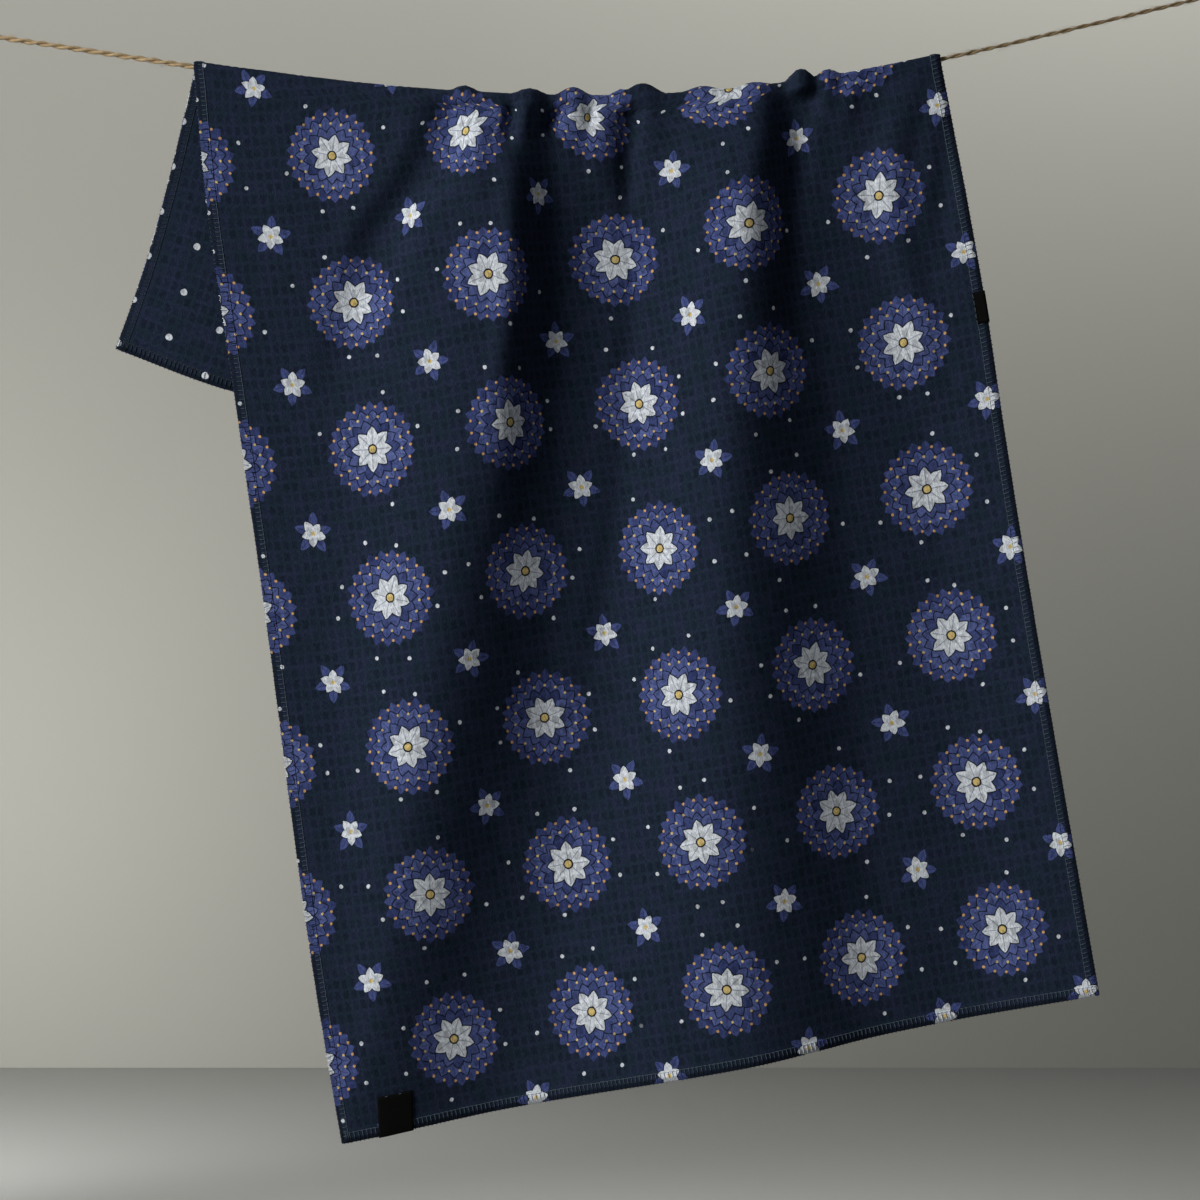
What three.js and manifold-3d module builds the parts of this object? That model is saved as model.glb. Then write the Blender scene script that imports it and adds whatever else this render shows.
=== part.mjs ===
// A tea towel hung over a taut twine line. It hangs skewed, so its sides lean and its hem climbs,
// and the short back flap shows past the left side of the long front one.
// Units are millimetres. +X runs along the line, +Z is up and the front flap faces -Y.
// The origin is in the bend of the line's left eye, where a hook holds it.

import * as THREE from 'three';
import Module from 'manifold-3d';
import { mergeVertices } from 'three/addons/utils/BufferGeometryUtils.js';

// Driving dimensions
const CLOTH_THICKNESS = 1.5;
const TWINE_DIAMETER = 3.0;
const TWINE_GROOVE_DEPTH = 0.35;
const TWINE_LAY_LENGTH = 18;
const SEAT_GAP = 0.38;
const SIDE_CLEARANCE = 2.1;
const TWINE_RADIUS = TWINE_DIAMETER / 2;
const HALF_CLOTH = CLOTH_THICKNESS / 2;

// How far the cloth's middle layer stands off the line's centre where no fold lifts it
const OFF_LINE = TWINE_RADIUS + SIDE_CLEARANCE + HALF_CLOTH;

// Label sizes, and the room between a label and the cloth inside it
const LABEL_THICKNESS = 0.6;
const LABEL_GAP = 0.4;
const HEM_LABEL = { fromShare: 0.049, toShare: 0.096, fromDown: 0.963 };
const EDGE_LABEL = { fromDown: 0.25, toDown: 0.283, depth: 8 };

// Heights of the towel's hems, from the left side to the right
const FRONT_HEM = { share: [0, 1], z: [-619, -534] };
const BACK_HEM = { share: [0, 0.15, 0.5, 0.8, 1], z: [-176, -200, -232, -249, -257] };

// Side outlines: how far down the flap, as a share of its length, and where the side is then
const FRONT_LEFT_SIDE = {
  down: [0, 0.11, 0.31, 0.54, 0.82, 1],
  x: [131.2, 137.5, 154.2, 173.5, 195.9, 213.4],
};
const FRONT_RIGHT_SIDE = {
  down: [0, 0.11, 0.28, 0.4, 0.74, 1],
  x: [546, 556.6, 571.9, 580.8, 608.8, 631.3],
};
const BACK_LEFT_SIDE = { down: [0, 0.21, 0.46, 0.71, 1], x: [131.2, 123.4, 113.5, 102, 85.5] };
const BACK_RIGHT_SIDE = { down: [0, 0.5, 1], x: [546, 534, 516.5] };

// The line's centre from the left knot to the right one, sagging under the towel
const LINE_ROUTE = [
  { x: 20.5, z: -3.1 },
  { x: 50, z: -7.5 },
  { x: 78.3, z: -11.8 },
  { x: 105, z: -15.9 },
  { x: 131.2, z: -19.9 },
  { x: 173, z: -25.6 },
  { x: 213.7, z: -30.7 },
  { x: 248.3, z: -34.2 },
  { x: 281.7, z: -36.7 },
  { x: 323.6, z: -38.5 },
  { x: 357, z: -38.8 },
  { x: 387.7, z: -38 },
  { x: 412.8, z: -36.6 },
  { x: 437.8, z: -34.4 },
  { x: 460.1, z: -31.6 },
  { x: 479.7, z: -28.7 },
  { x: 496.4, z: -25.7 },
  { x: 521.5, z: -21 },
  { x: 546, z: -15.8 },
  { x: 580, z: -8.1 },
  { x: 614.6, z: 0 },
  { x: 652.5, z: 9 },
  { x: 696.5, z: 19.6 },
];

// Each end of the line: the knot's middle, its lean in degrees, and which way the eye points
const LINE_ENDS = {
  left: { x: 15.7, z: -2.35, lean: -8.5, side: -1 },
  right: { x: 701.2, z: 20.75, lean: 13.5, side: 1 },
};
const KNOT = { length: 9, radius: 3.4, faceRadius: 1.7, waist: 2.7 };
const EYE = { length: 13, width: 10, strandOffset: 1.75 };

// Main folds of the front flap: where each is and how deep, at four shares of the way down.
// A negative depth comes forward and a positive one goes back.
const FOLD_LEVELS = [0, 0.12, 0.45, 1];
const FRONT_FOLDS = [
  { name: 'left side', x: null, y: [-OFF_LINE, -5, -5, -7] },
  { name: 'left field', x: [189.8, 200.9, 206.5, 217.5], y: [-OFF_LINE, -5, -8, -9] },
  { name: 'first crest', x: [300, 304, 277, 226], y: [-9, -24, -29, -9] },
  { name: 'foot of its flank', x: [332.5, 334, 338, 286], y: [-OFF_LINE, -2, -1, 1] },
  { name: 'first trough', x: [365.4, 374, 364, 304], y: [-OFF_LINE, 2, 1, 3] },
  { name: 'second crest', x: [447.3, 436, 429, 438], y: [-9, -24, -30, -35] },
  { name: 'foot of its flank', x: [466, 470, 497, 520], y: [-OFF_LINE, -4, -1, -12] },
  { name: 'second trough', x: [513.1, 503, 538, 554], y: [-OFF_LINE, -3, 2, -11] },
  { name: 'right side', x: null, y: [-OFF_LINE, -8, -12, -28] },
];

// Main folds of the back flap, which stays behind the front one
const BACK_LEVELS = [0, 0.35, 1];
const BACK_FOLDS = [
  { name: 'left side', x: null, y: [OFF_LINE, 7, 13] },
  { name: 'left field', x: [173, 161.9, 142.4], y: [OFF_LINE, 6, 9] },
  { name: 'first crest', x: [294, 290, 267.8], y: [9, 15, 30] },
  { name: 'trough', x: [357, 357, 340.3], y: [OFF_LINE, 8, 14] },
  { name: 'second crest', x: [447.3, 443.4, 412.8], y: [9, 17, 34] },
  { name: 'second trough', x: [468.5, 476.9, 462.9], y: [OFF_LINE, 9, 18] },
  { name: 'right side', x: null, y: [OFF_LINE, 9, 20] },
];

// Small gathers bunched on the line: where, how wide to each side, how high over the line,
// how far out in front, and how far down each one fades
const GATHERS = [
  { x: 281.7, half: 9, rise: 3.2, out: 2, reach: 30 },
  { x: 318, half: 11, rise: 3.3, out: 5, reach: 26 },
  { x: 342, half: 10.5, rise: 4.3, out: 4.5, reach: 30 },
  { x: 380.4, half: 14, rise: 6, out: 2.5, reach: 35 },
  { x: 413.9, half: 12, rise: 2.6, out: 1, reach: 25 },
  { x: 442.3, half: 11, rise: 2, out: 2, reach: 30 },
  { x: 468.5, half: 9.5, rise: 6.3, out: 6, reach: 35 },
  { x: 483.6, half: 8, rise: 3.6, out: 3, reach: 22 },
];

// Mesh steps
const COLUMN_BANDS = [
  { to: HEM_LABEL.fromShare, steps: 2 },
  { to: HEM_LABEL.toShare, steps: 3 },
  { to: 0.33, steps: 8 },
  { to: 0.87, steps: 38 },
  { to: 1, steps: 5 },
];
const FRONT_ROWS = { steps: 19, crowding: 1.6, end: HEM_LABEL.fromDown };
const BACK_ROWS = { steps: 9, crowding: 1.4, end: 1 };
const OVER_LINE_STEPS = 6;
const ROW_WALK_STEPS = 500;
const TWINE_SIDES = 8;
const TWINE_STEPS_PER_TURN = 6;
const EYE_STEPS = 20;
const KNOT_SIDES = 12;

// A smooth curve through points, level at each crest and trough and never past them
function curveThrough(xs, ys) {
  const last = xs.length - 1;
  const rise = (i) => (ys[i + 1] - ys[i]) / (xs[i + 1] - xs[i]);
  const slopes = xs.map((_, i) => {
    if (i === 0) return rise(0);
    if (i === last) return rise(last - 1);
    const before = rise(i - 1);
    const after = rise(i);
    return before * after <= 0 ? 0 : (2 * before * after) / (before + after);
  });
  return (x) => {
    let i = 0;
    while (i < last - 1 && x > xs[i + 1]) i += 1;
    const width = xs[i + 1] - xs[i];
    const t = THREE.MathUtils.clamp((x - xs[i]) / width, 0, 1);
    const u = 1 - t;
    const ends = ys[i] * (1 + 2 * t) * u * u + ys[i + 1] * (3 - 2 * t) * t * t;
    return ends + width * t * u * (slopes[i] * u - slopes[i + 1] * t);
  };
}

// A soft bump, 1 in its middle and 0 from half a width out
const bump = (offset, half) => Math.max(0, 1 - (offset / half) ** 2) ** 2;
const fade = (distance, reach) => Math.exp(-((distance / reach) ** 2));
const mix = THREE.MathUtils.lerp;

const lineHeight = curveThrough(LINE_ROUTE.map((p) => p.x), LINE_ROUTE.map((p) => p.z));
const overLine = (x) => TWINE_RADIUS + SEAT_GAP + HALF_CLOTH
  + GATHERS.reduce((sum, g) => Math.max(sum, g.rise * bump(x - g.x, g.half)), 0);

// One flap of the towel, from the line down to its hem
function makeFlap({ folds, levels, leftSide, rightSide, hem, outward }) {
  const left = curveThrough(leftSide.down, leftSide.x);
  const right = curveThrough(rightSide.down, rightSide.x);
  const hemHeight = curveThrough(hem.share, hem.z);
  const tracks = folds.map((fold, i) => ({
    x: fold.x ? curveThrough(levels, fold.x) : (i === 0 ? left : right),
    y: curveThrough(levels, fold.y),
  }));

  // The depth of the cloth along one row, with the gathers still showing near the line
  function depthAlong(down) {
    const folded = curveThrough(tracks.map((k) => k.x(down)), tracks.map((k) => k.y(down)));
    return (x) => {
      const drop = (lineHeight(x) - hemHeight(0.5)) * down;
      const gathered = GATHERS.reduce(
        (sum, g) => sum + g.out * bump(x - g.x, g.half * (1 + drop / g.reach / 2)) * fade(drop, g.reach),
        0,
      );
      return folded(x) + outward * gathered;
    };
  }

  // Columns share out each row by its own length, so the cloth isn't stretched by its folds
  function rowPoints(down, shares) {
    const depth = depthAlong(down);
    const start = left(down);
    const step = (right(down) - start) / ROW_WALK_STEPS;
    const lengths = [0];
    for (let i = 1; i <= ROW_WALK_STEPS; i += 1) {
      const rise = depth(start + i * step) - depth(start + (i - 1) * step);
      lengths.push(lengths[i - 1] + Math.hypot(step, rise));
    }
    let at = 0;
    return shares.map((share) => {
      const wanted = share * lengths[ROW_WALK_STEPS];
      while (at < ROW_WALK_STEPS - 1 && lengths[at + 1] < wanted) at += 1;
      const part = (wanted - lengths[at]) / (lengths[at + 1] - lengths[at]);
      const x = start + (at + part) * step;
      return { x, y: depth(x) };
    });
  }

  return { rowPoints, hemHeight };
}

const front = makeFlap({
  folds: FRONT_FOLDS,
  levels: FOLD_LEVELS,
  leftSide: FRONT_LEFT_SIDE,
  rightSide: FRONT_RIGHT_SIDE,
  hem: FRONT_HEM,
  outward: -1,
});
const back = makeFlap({
  folds: BACK_FOLDS,
  levels: BACK_LEVELS,
  leftSide: BACK_LEFT_SIDE,
  rightSide: BACK_RIGHT_SIDE,
  hem: BACK_HEM,
  outward: 1,
});

// One row of a flap as points in space
function flapRow(flap, down, shares) {
  const atLine = flap.rowPoints(0, shares);
  return flap.rowPoints(down, shares).map((point, i) => {
    const top = lineHeight(atLine[i].x);
    return new THREE.Vector3(point.x, point.y, mix(top, flap.hemHeight(shares[i]), down));
  });
}

// One row over the line, turned from 0 at the front to PI at the back
function overLineRow(turn, shares) {
  const before = front.rowPoints(0, shares);
  const behind = back.rowPoints(0, shares);
  return shares.map((_, i) => {
    const x = mix(before[i].x, behind[i].x, turn / Math.PI);
    const y = Math.cos(turn) * (turn < Math.PI / 2 ? before[i].y : -behind[i].y);
    return new THREE.Vector3(x, y, lineHeight(x) + overLine(x) * Math.sin(turn));
  });
}

// A closed solid between two matching grids of points, the outer one in front of the inner one
function solidBetween(outer, inner) {
  const rows = outer.length;
  const columns = outer[0].length;
  const vertices = [...outer.flat(), ...inner.flat()].flatMap((p) => [p.x, p.y, p.z]);
  const out = (row, column) => row * columns + column;
  const inn = (row, column) => rows * columns + out(row, column);
  const faces = [];
  const quad = (a, b, c, d) => faces.push(a, b, c, a, c, d);
  for (let r = 0; r < rows - 1; r += 1) {
    for (let c = 0; c < columns - 1; c += 1) {
      quad(out(r, c), out(r + 1, c), out(r + 1, c + 1), out(r, c + 1));
      quad(inn(r, c), inn(r, c + 1), inn(r + 1, c + 1), inn(r + 1, c));
    }
    quad(out(r, 0), inn(r, 0), inn(r + 1, 0), out(r + 1, 0));
    quad(out(r, columns - 1), out(r + 1, columns - 1), inn(r + 1, columns - 1), inn(r, columns - 1));
  }
  for (let c = 0; c < columns - 1; c += 1) {
    quad(out(0, c), out(0, c + 1), inn(0, c + 1), inn(0, c));
    quad(out(rows - 1, c), inn(rows - 1, c), inn(rows - 1, c + 1), out(rows - 1, c + 1));
  }
  const geometry = new THREE.BufferGeometry();
  geometry.setAttribute('position', new THREE.Float32BufferAttribute(vertices, 3));
  geometry.setIndex(faces);
  geometry.computeVertexNormals();
  return geometry;
}

// Outward directions of a grid whose rows run down the cloth's outer face
function gridNormals(grid) {
  const between = (a, b) => new THREE.Vector3().subVectors(b, a);
  return grid.map((row, r) => row.map((_, c) => {
    const across = between(row[Math.max(c - 1, 0)], row[Math.min(c + 1, row.length - 1)]);
    const along = between(grid[Math.max(r - 1, 0)][c], grid[Math.min(r + 1, grid.length - 1)][c]);
    return along.cross(across).normalize();
  }));
}

const offsetGrid = (grid, normals, distance) => grid.map(
  (row, r) => row.map((point, c) => point.clone().addScaledVector(normals[r][c], distance)),
);

// Row places as shares of the way down a flap, closer together near the line
const crowdedRows = ({ steps, crowding, end }) => Array.from(
  { length: steps },
  (_, i) => end * ((i + 1) / steps) ** crowding,
);

function columnShares() {
  const shares = [0];
  COLUMN_BANDS.forEach(({ to, steps }) => {
    const from = shares[shares.length - 1];
    for (let i = 1; i <= steps; i += 1) shares.push(mix(from, to, i / steps));
  });
  return shares;
}

// The towel: rows from the back hem up, over the line, and down to the front hem
function towelGeometry() {
  const shares = columnShares();
  const grid = [];
  crowdedRows(BACK_ROWS).reverse().forEach((down) => grid.push(flapRow(back, down, shares)));
  for (let i = OVER_LINE_STEPS; i >= 0; i -= 1) {
    grid.push(overLineRow((Math.PI * i) / OVER_LINE_STEPS, shares));
  }
  [...crowdedRows(FRONT_ROWS), 1].forEach((down) => grid.push(flapRow(front, down, shares)));
  const normals = gridNormals(grid);
  return solidBetween(offsetGrid(grid, normals, HALF_CLOTH), offsetGrid(grid, normals, -HALF_CLOTH));
}

// A label folded round an edge of the cloth. Each station has a point inside the cloth at the
// label's far end, one on the cloth's edge, and the cloth's outward direction there.
function foldedLabel(stations) {
  const inside = HALF_CLOTH + LABEL_GAP;
  const outside = inside + LABEL_THICKNESS;
  const layers = (reach) => stations.map(({ far, edge, outward }) => {
    const beyond = new THREE.Vector3().subVectors(edge, far).normalize();
    const overEdge = edge.clone().addScaledVector(beyond, reach - HALF_CLOTH);
    const place = (point, distance) => point.clone().addScaledVector(outward, distance);
    return [
      place(far, -reach), place(overEdge, -reach), place(overEdge, reach), place(far, reach),
    ];
  });
  return solidBetween(layers(outside), layers(inside));
}

// The label at the left of the front hem
function hemLabelGeometry() {
  const { fromShare, toShare, fromDown } = HEM_LABEL;
  const shares = columnShares().filter((share) => share >= fromShare && share <= toShare);
  const farRow = flapRow(front, fromDown, shares);
  const edgeRow = flapRow(front, 1, shares);
  const normals = gridNormals([farRow, edgeRow]);
  const stations = shares.map((_, i) => ({
    far: farRow[i],
    edge: edgeRow[i],
    outward: normals[1][i],
  }));
  return foldedLabel(stations);
}

// The label on the right side of the front flap
function edgeLabelGeometry() {
  const { fromDown, toDown, depth } = EDGE_LABEL;
  const steps = 3;
  const rows = Array.from({ length: steps + 1 }, (_, i) => mix(toDown, fromDown, i / steps));
  const stations = rows.map((down) => {
    const share = 1 - depth / (FRONT_RIGHT_SIDE.x[0] - FRONT_LEFT_SIDE.x[0]);
    const [far, edge] = flapRow(front, down, [share, 1]);
    const [, below] = flapRow(front, down + 0.01, [share, 1]);
    const across = new THREE.Vector3().subVectors(edge, far);
    const along = new THREE.Vector3().subVectors(below, edge);
    return { far, edge, outward: along.cross(across).normalize() };
  });
  return foldedLabel(stations);
}

// A tube through rings of points, closed by a flat cap at each end
function tubeThrough(centres, ringAt) {
  const rings = centres.map((centre, i) => ringAt(centre, i));
  const sides = rings[0].length;
  const vertices = [...rings.flat(), centres[0], centres[centres.length - 1]]
    .flatMap((p) => [p.x, p.y, p.z]);
  const startCap = rings.length * sides;
  const endCap = startCap + 1;
  const faces = [];
  for (let side = 0; side < sides; side += 1) {
    const next = (side + 1) % sides;
    for (let i = 0; i < rings.length - 1; i += 1) {
      const [a, b] = [i * sides + side, i * sides + next];
      faces.push(a, b, b + sides, a, b + sides, a + sides);
    }
    const lastRing = (rings.length - 1) * sides;
    faces.push(startCap, next, side, endCap, lastRing + side, lastRing + next);
  }
  const geometry = new THREE.BufferGeometry();
  geometry.setAttribute('position', new THREE.Float32BufferAttribute(vertices, 3));
  geometry.setIndex(faces);
  geometry.computeVertexNormals();
  return geometry;
}

// A tube along a curve that stays in the XZ plane, with a radius for each angle and length
function planarTube(curve, steps, radiusAt) {
  const centres = curve.getSpacedPoints(steps);
  const total = curve.getLength();
  return tubeThrough(centres, (centre, i) => {
    const tangent = curve.getTangentAt(i / steps);
    const upward = new THREE.Vector3(-tangent.z, 0, tangent.x);
    return Array.from({ length: TWINE_SIDES }, (_, side) => {
      const angle = (2 * Math.PI * side) / TWINE_SIDES;
      const radius = radiusAt(angle, (total * i) / steps);
      return centre.clone()
        .addScaledVector(upward, radius * Math.cos(angle))
        .add(new THREE.Vector3(0, -radius * Math.sin(angle), 0));
    });
  });
}

// Two strands laid round each other, so the section has two lobes that turn along the line
function twineGeometry() {
  const route = new THREE.CatmullRomCurve3(
    LINE_ROUTE.map(({ x, z }) => new THREE.Vector3(x, 0, z)),
    false,
    'centripetal',
  );
  const steps = Math.round((route.getLength() / TWINE_LAY_LENGTH) * TWINE_STEPS_PER_TURN);
  return planarTube(route, steps, (angle, along) => {
    const turned = angle - (2 * Math.PI * along) / TWINE_LAY_LENGTH;
    return TWINE_RADIUS - TWINE_GROOVE_DEPTH * Math.sin(turned) ** 2;
  });
}

const wasm = await Module();
wasm.setup();

function toManifold(geometry) {
  const bare = geometry.clone();
  bare.deleteAttribute('normal');
  bare.deleteAttribute('uv');
  const merged = mergeVertices(bare, 1e-4);
  return new wasm.Manifold(new wasm.Mesh({
    numProp: 3,
    vertProperties: new Float32Array(merged.attributes.position.array),
    triVerts: new Uint32Array(merged.index.array),
  }));
}

function fromManifold(solid) {
  const mesh = solid.getMesh();
  const geometry = new THREE.BufferGeometry();
  geometry.setAttribute('position', new THREE.Float32BufferAttribute(mesh.vertProperties, 3));
  geometry.setIndex([...mesh.triVerts]);
  geometry.computeVertexNormals();
  return geometry;
}

// An eye at an end of the line, fused to the wrapped knot that closes it.
// It is made along +X from the knot's face and then turned and moved into place.
function lineEyeGeometry({ x, z, lean, side }) {
  const half = KNOT.length / 2;
  const wraps = 3;
  const profile = [new THREE.Vector2(0, -half), new THREE.Vector2(KNOT.faceRadius, -half)];
  for (let i = 0; i < wraps; i += 1) {
    const middle = -half + (KNOT.length * (i + 0.5)) / wraps;
    const reach = KNOT.length / wraps / 2;
    profile.push(new THREE.Vector2(KNOT.radius, middle - reach / 2));
    profile.push(new THREE.Vector2(KNOT.radius, middle + reach / 2));
    if (i < wraps - 1) profile.push(new THREE.Vector2(KNOT.waist, middle + reach));
  }
  profile.push(new THREE.Vector2(KNOT.faceRadius, half), new THREE.Vector2(0, half));
  const knot = new THREE.LatheGeometry(profile, KNOT_SIDES).rotateZ(-Math.PI / 2);

  const { length, width, strandOffset } = EYE;
  const loop = new THREE.CatmullRomCurve3([
    new THREE.Vector3(half / 2, 0, strandOffset),
    new THREE.Vector3(half, 0, strandOffset),
    new THREE.Vector3(half + length * 0.3, 0, width * 0.36),
    new THREE.Vector3(half + length * 0.62, 0, width / 2),
    new THREE.Vector3(half + length * 0.92, 0, width * 0.3),
    new THREE.Vector3(half + length, 0, 0),
    new THREE.Vector3(half + length * 0.92, 0, -width * 0.3),
    new THREE.Vector3(half + length * 0.62, 0, -width / 2),
    new THREE.Vector3(half + length * 0.3, 0, -width * 0.36),
    new THREE.Vector3(half, 0, -strandOffset),
    new THREE.Vector3(half / 2, 0, -strandOffset),
  ]);
  const eye = planarTube(loop, EYE_STEPS, () => TWINE_RADIUS);
  const solid = toManifold(knot).add(toManifold(eye));
  const turn = THREE.MathUtils.degToRad(lean);
  return fromManifold(solid)
    .rotateY(side < 0 ? Math.PI - turn : -turn)
    .translate(x, 0, z);
}

// Materials
const navyCloth = new THREE.MeshStandardMaterial({ color: 0x1c2434, roughness: 0.95, metalness: 0 });
const blackLabel = new THREE.MeshStandardMaterial({ color: 0x0d0e10, roughness: 0.7, metalness: 0 });
const juteTwine = new THREE.MeshStandardMaterial({ color: 0xb08f5e, roughness: 0.95, metalness: 0 });

const hungTowel = new THREE.Group();

function addPiece(name, geometry, material) {
  const mesh = new THREE.Mesh(geometry, material);
  mesh.name = name;
  hungTowel.add(mesh);
}

addPiece('towel', towelGeometry(), navyCloth);
addPiece('hem_label', hemLabelGeometry(), blackLabel);
addPiece('edge_label', edgeLabelGeometry(), blackLabel);
addPiece('twine_line', twineGeometry(), juteTwine);
Object.entries(LINE_ENDS).forEach(([end, place]) => {
  addPiece(`line_eye_${end}`, lineEyeGeometry(place), juteTwine);
});

export default hungTowel;
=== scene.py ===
"""A tea towel hung askew over a taut twine line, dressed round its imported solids.

Sizes are in millimetres in the row frame, and become metres only when a mesh is made.
+X runs along the line to the right, +Z is up and the front of the towel faces -Y.
A place on the flat cloth is u, across from the left side, and v, up from the front hem.
"""

import math

import bpy
import numpy as np
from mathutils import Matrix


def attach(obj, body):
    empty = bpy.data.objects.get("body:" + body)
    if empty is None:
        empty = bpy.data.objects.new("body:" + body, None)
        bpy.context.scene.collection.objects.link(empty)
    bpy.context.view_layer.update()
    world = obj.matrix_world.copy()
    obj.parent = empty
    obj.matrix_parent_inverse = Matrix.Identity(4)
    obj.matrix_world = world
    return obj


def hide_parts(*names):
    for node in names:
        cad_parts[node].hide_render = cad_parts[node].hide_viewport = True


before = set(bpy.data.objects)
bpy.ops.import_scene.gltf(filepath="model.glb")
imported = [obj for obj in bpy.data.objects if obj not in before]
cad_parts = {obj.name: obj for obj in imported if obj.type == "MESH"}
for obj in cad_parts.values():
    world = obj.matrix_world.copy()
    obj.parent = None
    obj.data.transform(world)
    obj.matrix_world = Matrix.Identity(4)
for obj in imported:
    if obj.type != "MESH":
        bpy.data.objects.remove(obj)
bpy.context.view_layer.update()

MM = 0.001
TAU = 2 * math.pi

# Sizes of the cloth and the line, and how far apart the two stay
CLOTH_WIDTH = 455.0
CLOTH_LENGTH = 775.0
CLOTH_THICKNESS = 1.5
TWINE_DIAMETER = 3.0
TWINE_LAY_LENGTH = 18.0
SEAT_GAP = 0.38
SIDE_CLEARANCE = 2.1
TWINE_RADIUS = TWINE_DIAMETER / 2
HALF_CLOTH = CLOTH_THICKNESS / 2
OFF_LINE = TWINE_RADIUS + SIDE_CLEARANCE + HALF_CLOTH

# Waffle cells, counted across and along the cloth, with two mesh steps to a cell each way
CELLS_ACROSS = 93
CELLS_ALONG = 121
CELL_WIDTH = CLOTH_WIDTH / CELLS_ACROSS
CELL_LENGTH = CLOTH_LENGTH / CELLS_ALONG
COLUMNS = 2 * CELLS_ACROSS
PIT_DEPTH = 0.32

# Heights of the towel's hems, from the left side to the right
FRONT_HEM = {"share": [0, 1], "z": [-619, -534]}
BACK_HEM = {"share": [0, 0.15, 0.5, 0.8, 1], "z": [-176, -200, -232, -249, -257]}

# Side outlines: how far down the flap, as a share of its length, and where the side is then
FRONT_LEFT_SIDE = {
    "down": [0, 0.11, 0.31, 0.54, 0.82, 1],
    "x": [131.2, 137.5, 154.2, 173.5, 195.9, 213.4],
}
FRONT_RIGHT_SIDE = {
    "down": [0, 0.11, 0.28, 0.4, 0.74, 1],
    "x": [546, 556.6, 571.9, 580.8, 608.8, 631.3],
}
BACK_LEFT_SIDE = {"down": [0, 0.21, 0.46, 0.71, 1], "x": [131.2, 123.4, 113.5, 102, 85.5]}
BACK_RIGHT_SIDE = {"down": [0, 0.5, 1], "x": [546, 534, 516.5]}

# The line's centre from the left knot to the right one, as x and z
LINE_ROUTE = [
    (20.5, -3.1), (50, -7.5), (78.3, -11.8), (105, -15.9), (131.2, -19.9), (173, -25.6),
    (213.7, -30.7), (248.3, -34.2), (281.7, -36.7), (323.6, -38.5), (357, -38.8), (387.7, -38),
    (412.8, -36.6), (437.8, -34.4), (460.1, -31.6), (479.7, -28.7), (496.4, -25.7), (521.5, -21),
    (546, -15.8), (580, -8.1), (614.6, 0), (652.5, 9), (696.5, 19.6),
]

# Each end of the line: the knot's middle, its lean in degrees, and which way the eye points
LINE_ENDS = {
    "left": {"x": 15.7, "z": -2.35, "lean": -8.5, "side": -1},
    "right": {"x": 701.2, "z": 20.75, "lean": 13.5, "side": 1},
}
KNOT_LENGTH = 9.0
KNOT_RADIUS = 3.4
EYE = {"length": 13.0, "width": 10.0, "from_middle": 1.75, "lay": 14.0}
# The eye's strands are a little thinner and closer together than the line's
EYE_STRANDS = {"radius": 0.92, "offset": 0.9}
# Half the eye's outline from the knot on, as shares of its length and width
EYE_OUTLINE = [(0.3, 0.36), (0.62, 0.5), (0.92, 0.3), (1, 0)]
# The wraps' ends are tucked in to a radius over the last part of their turning
WRAPS = {"turns": 4, "radius": 0.95, "lay": 6.0, "tuck_turning": 1.2, "tucked_radius": 1.2}

# Main folds of the front flap: where each is and how deep, at four shares of the way down.
# A negative depth comes forward and a positive one goes back.
FOLD_LEVELS = [0, 0.12, 0.45, 1]
FRONT_FOLDS = [
    {"x": None, "y": [-OFF_LINE, -5, -5, -7]},  # left side
    {"x": [189.8, 200.9, 206.5, 217.5], "y": [-OFF_LINE, -5, -8, -9]},  # left field
    {"x": [300, 304, 277, 226], "y": [-9, -24, -29, -9]},  # first crest
    {"x": [332.5, 334, 338, 286], "y": [-OFF_LINE, -2, -1, 1]},  # foot of its flank
    {"x": [365.4, 374, 364, 304], "y": [-OFF_LINE, 2, 1, 3]},  # first trough
    {"x": [447.3, 436, 429, 438], "y": [-9, -24, -30, -35]},  # second crest
    {"x": [466, 470, 497, 520], "y": [-OFF_LINE, -4, -1, -12]},  # foot of its flank
    {"x": [513.1, 503, 538, 554], "y": [-OFF_LINE, -3, 2, -11]},  # second trough
    {"x": None, "y": [-OFF_LINE, -8, -12, -28]},  # right side
]

# Main folds of the back flap, which stays behind the front one
BACK_LEVELS = [0, 0.35, 1]
BACK_FOLDS = [
    {"x": None, "y": [OFF_LINE, 7, 13]},  # left side
    {"x": [173, 161.9, 142.4], "y": [OFF_LINE, 6, 9]},  # left field
    {"x": [294, 290, 267.8], "y": [9, 15, 30]},  # first crest
    {"x": [357, 357, 340.3], "y": [OFF_LINE, 8, 14]},  # trough
    {"x": [447.3, 443.4, 412.8], "y": [9, 17, 34]},  # second crest
    {"x": [468.5, 476.9, 462.9], "y": [OFF_LINE, 9, 18]},  # second trough
    {"x": None, "y": [OFF_LINE, 9, 20]},  # right side
]

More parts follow.
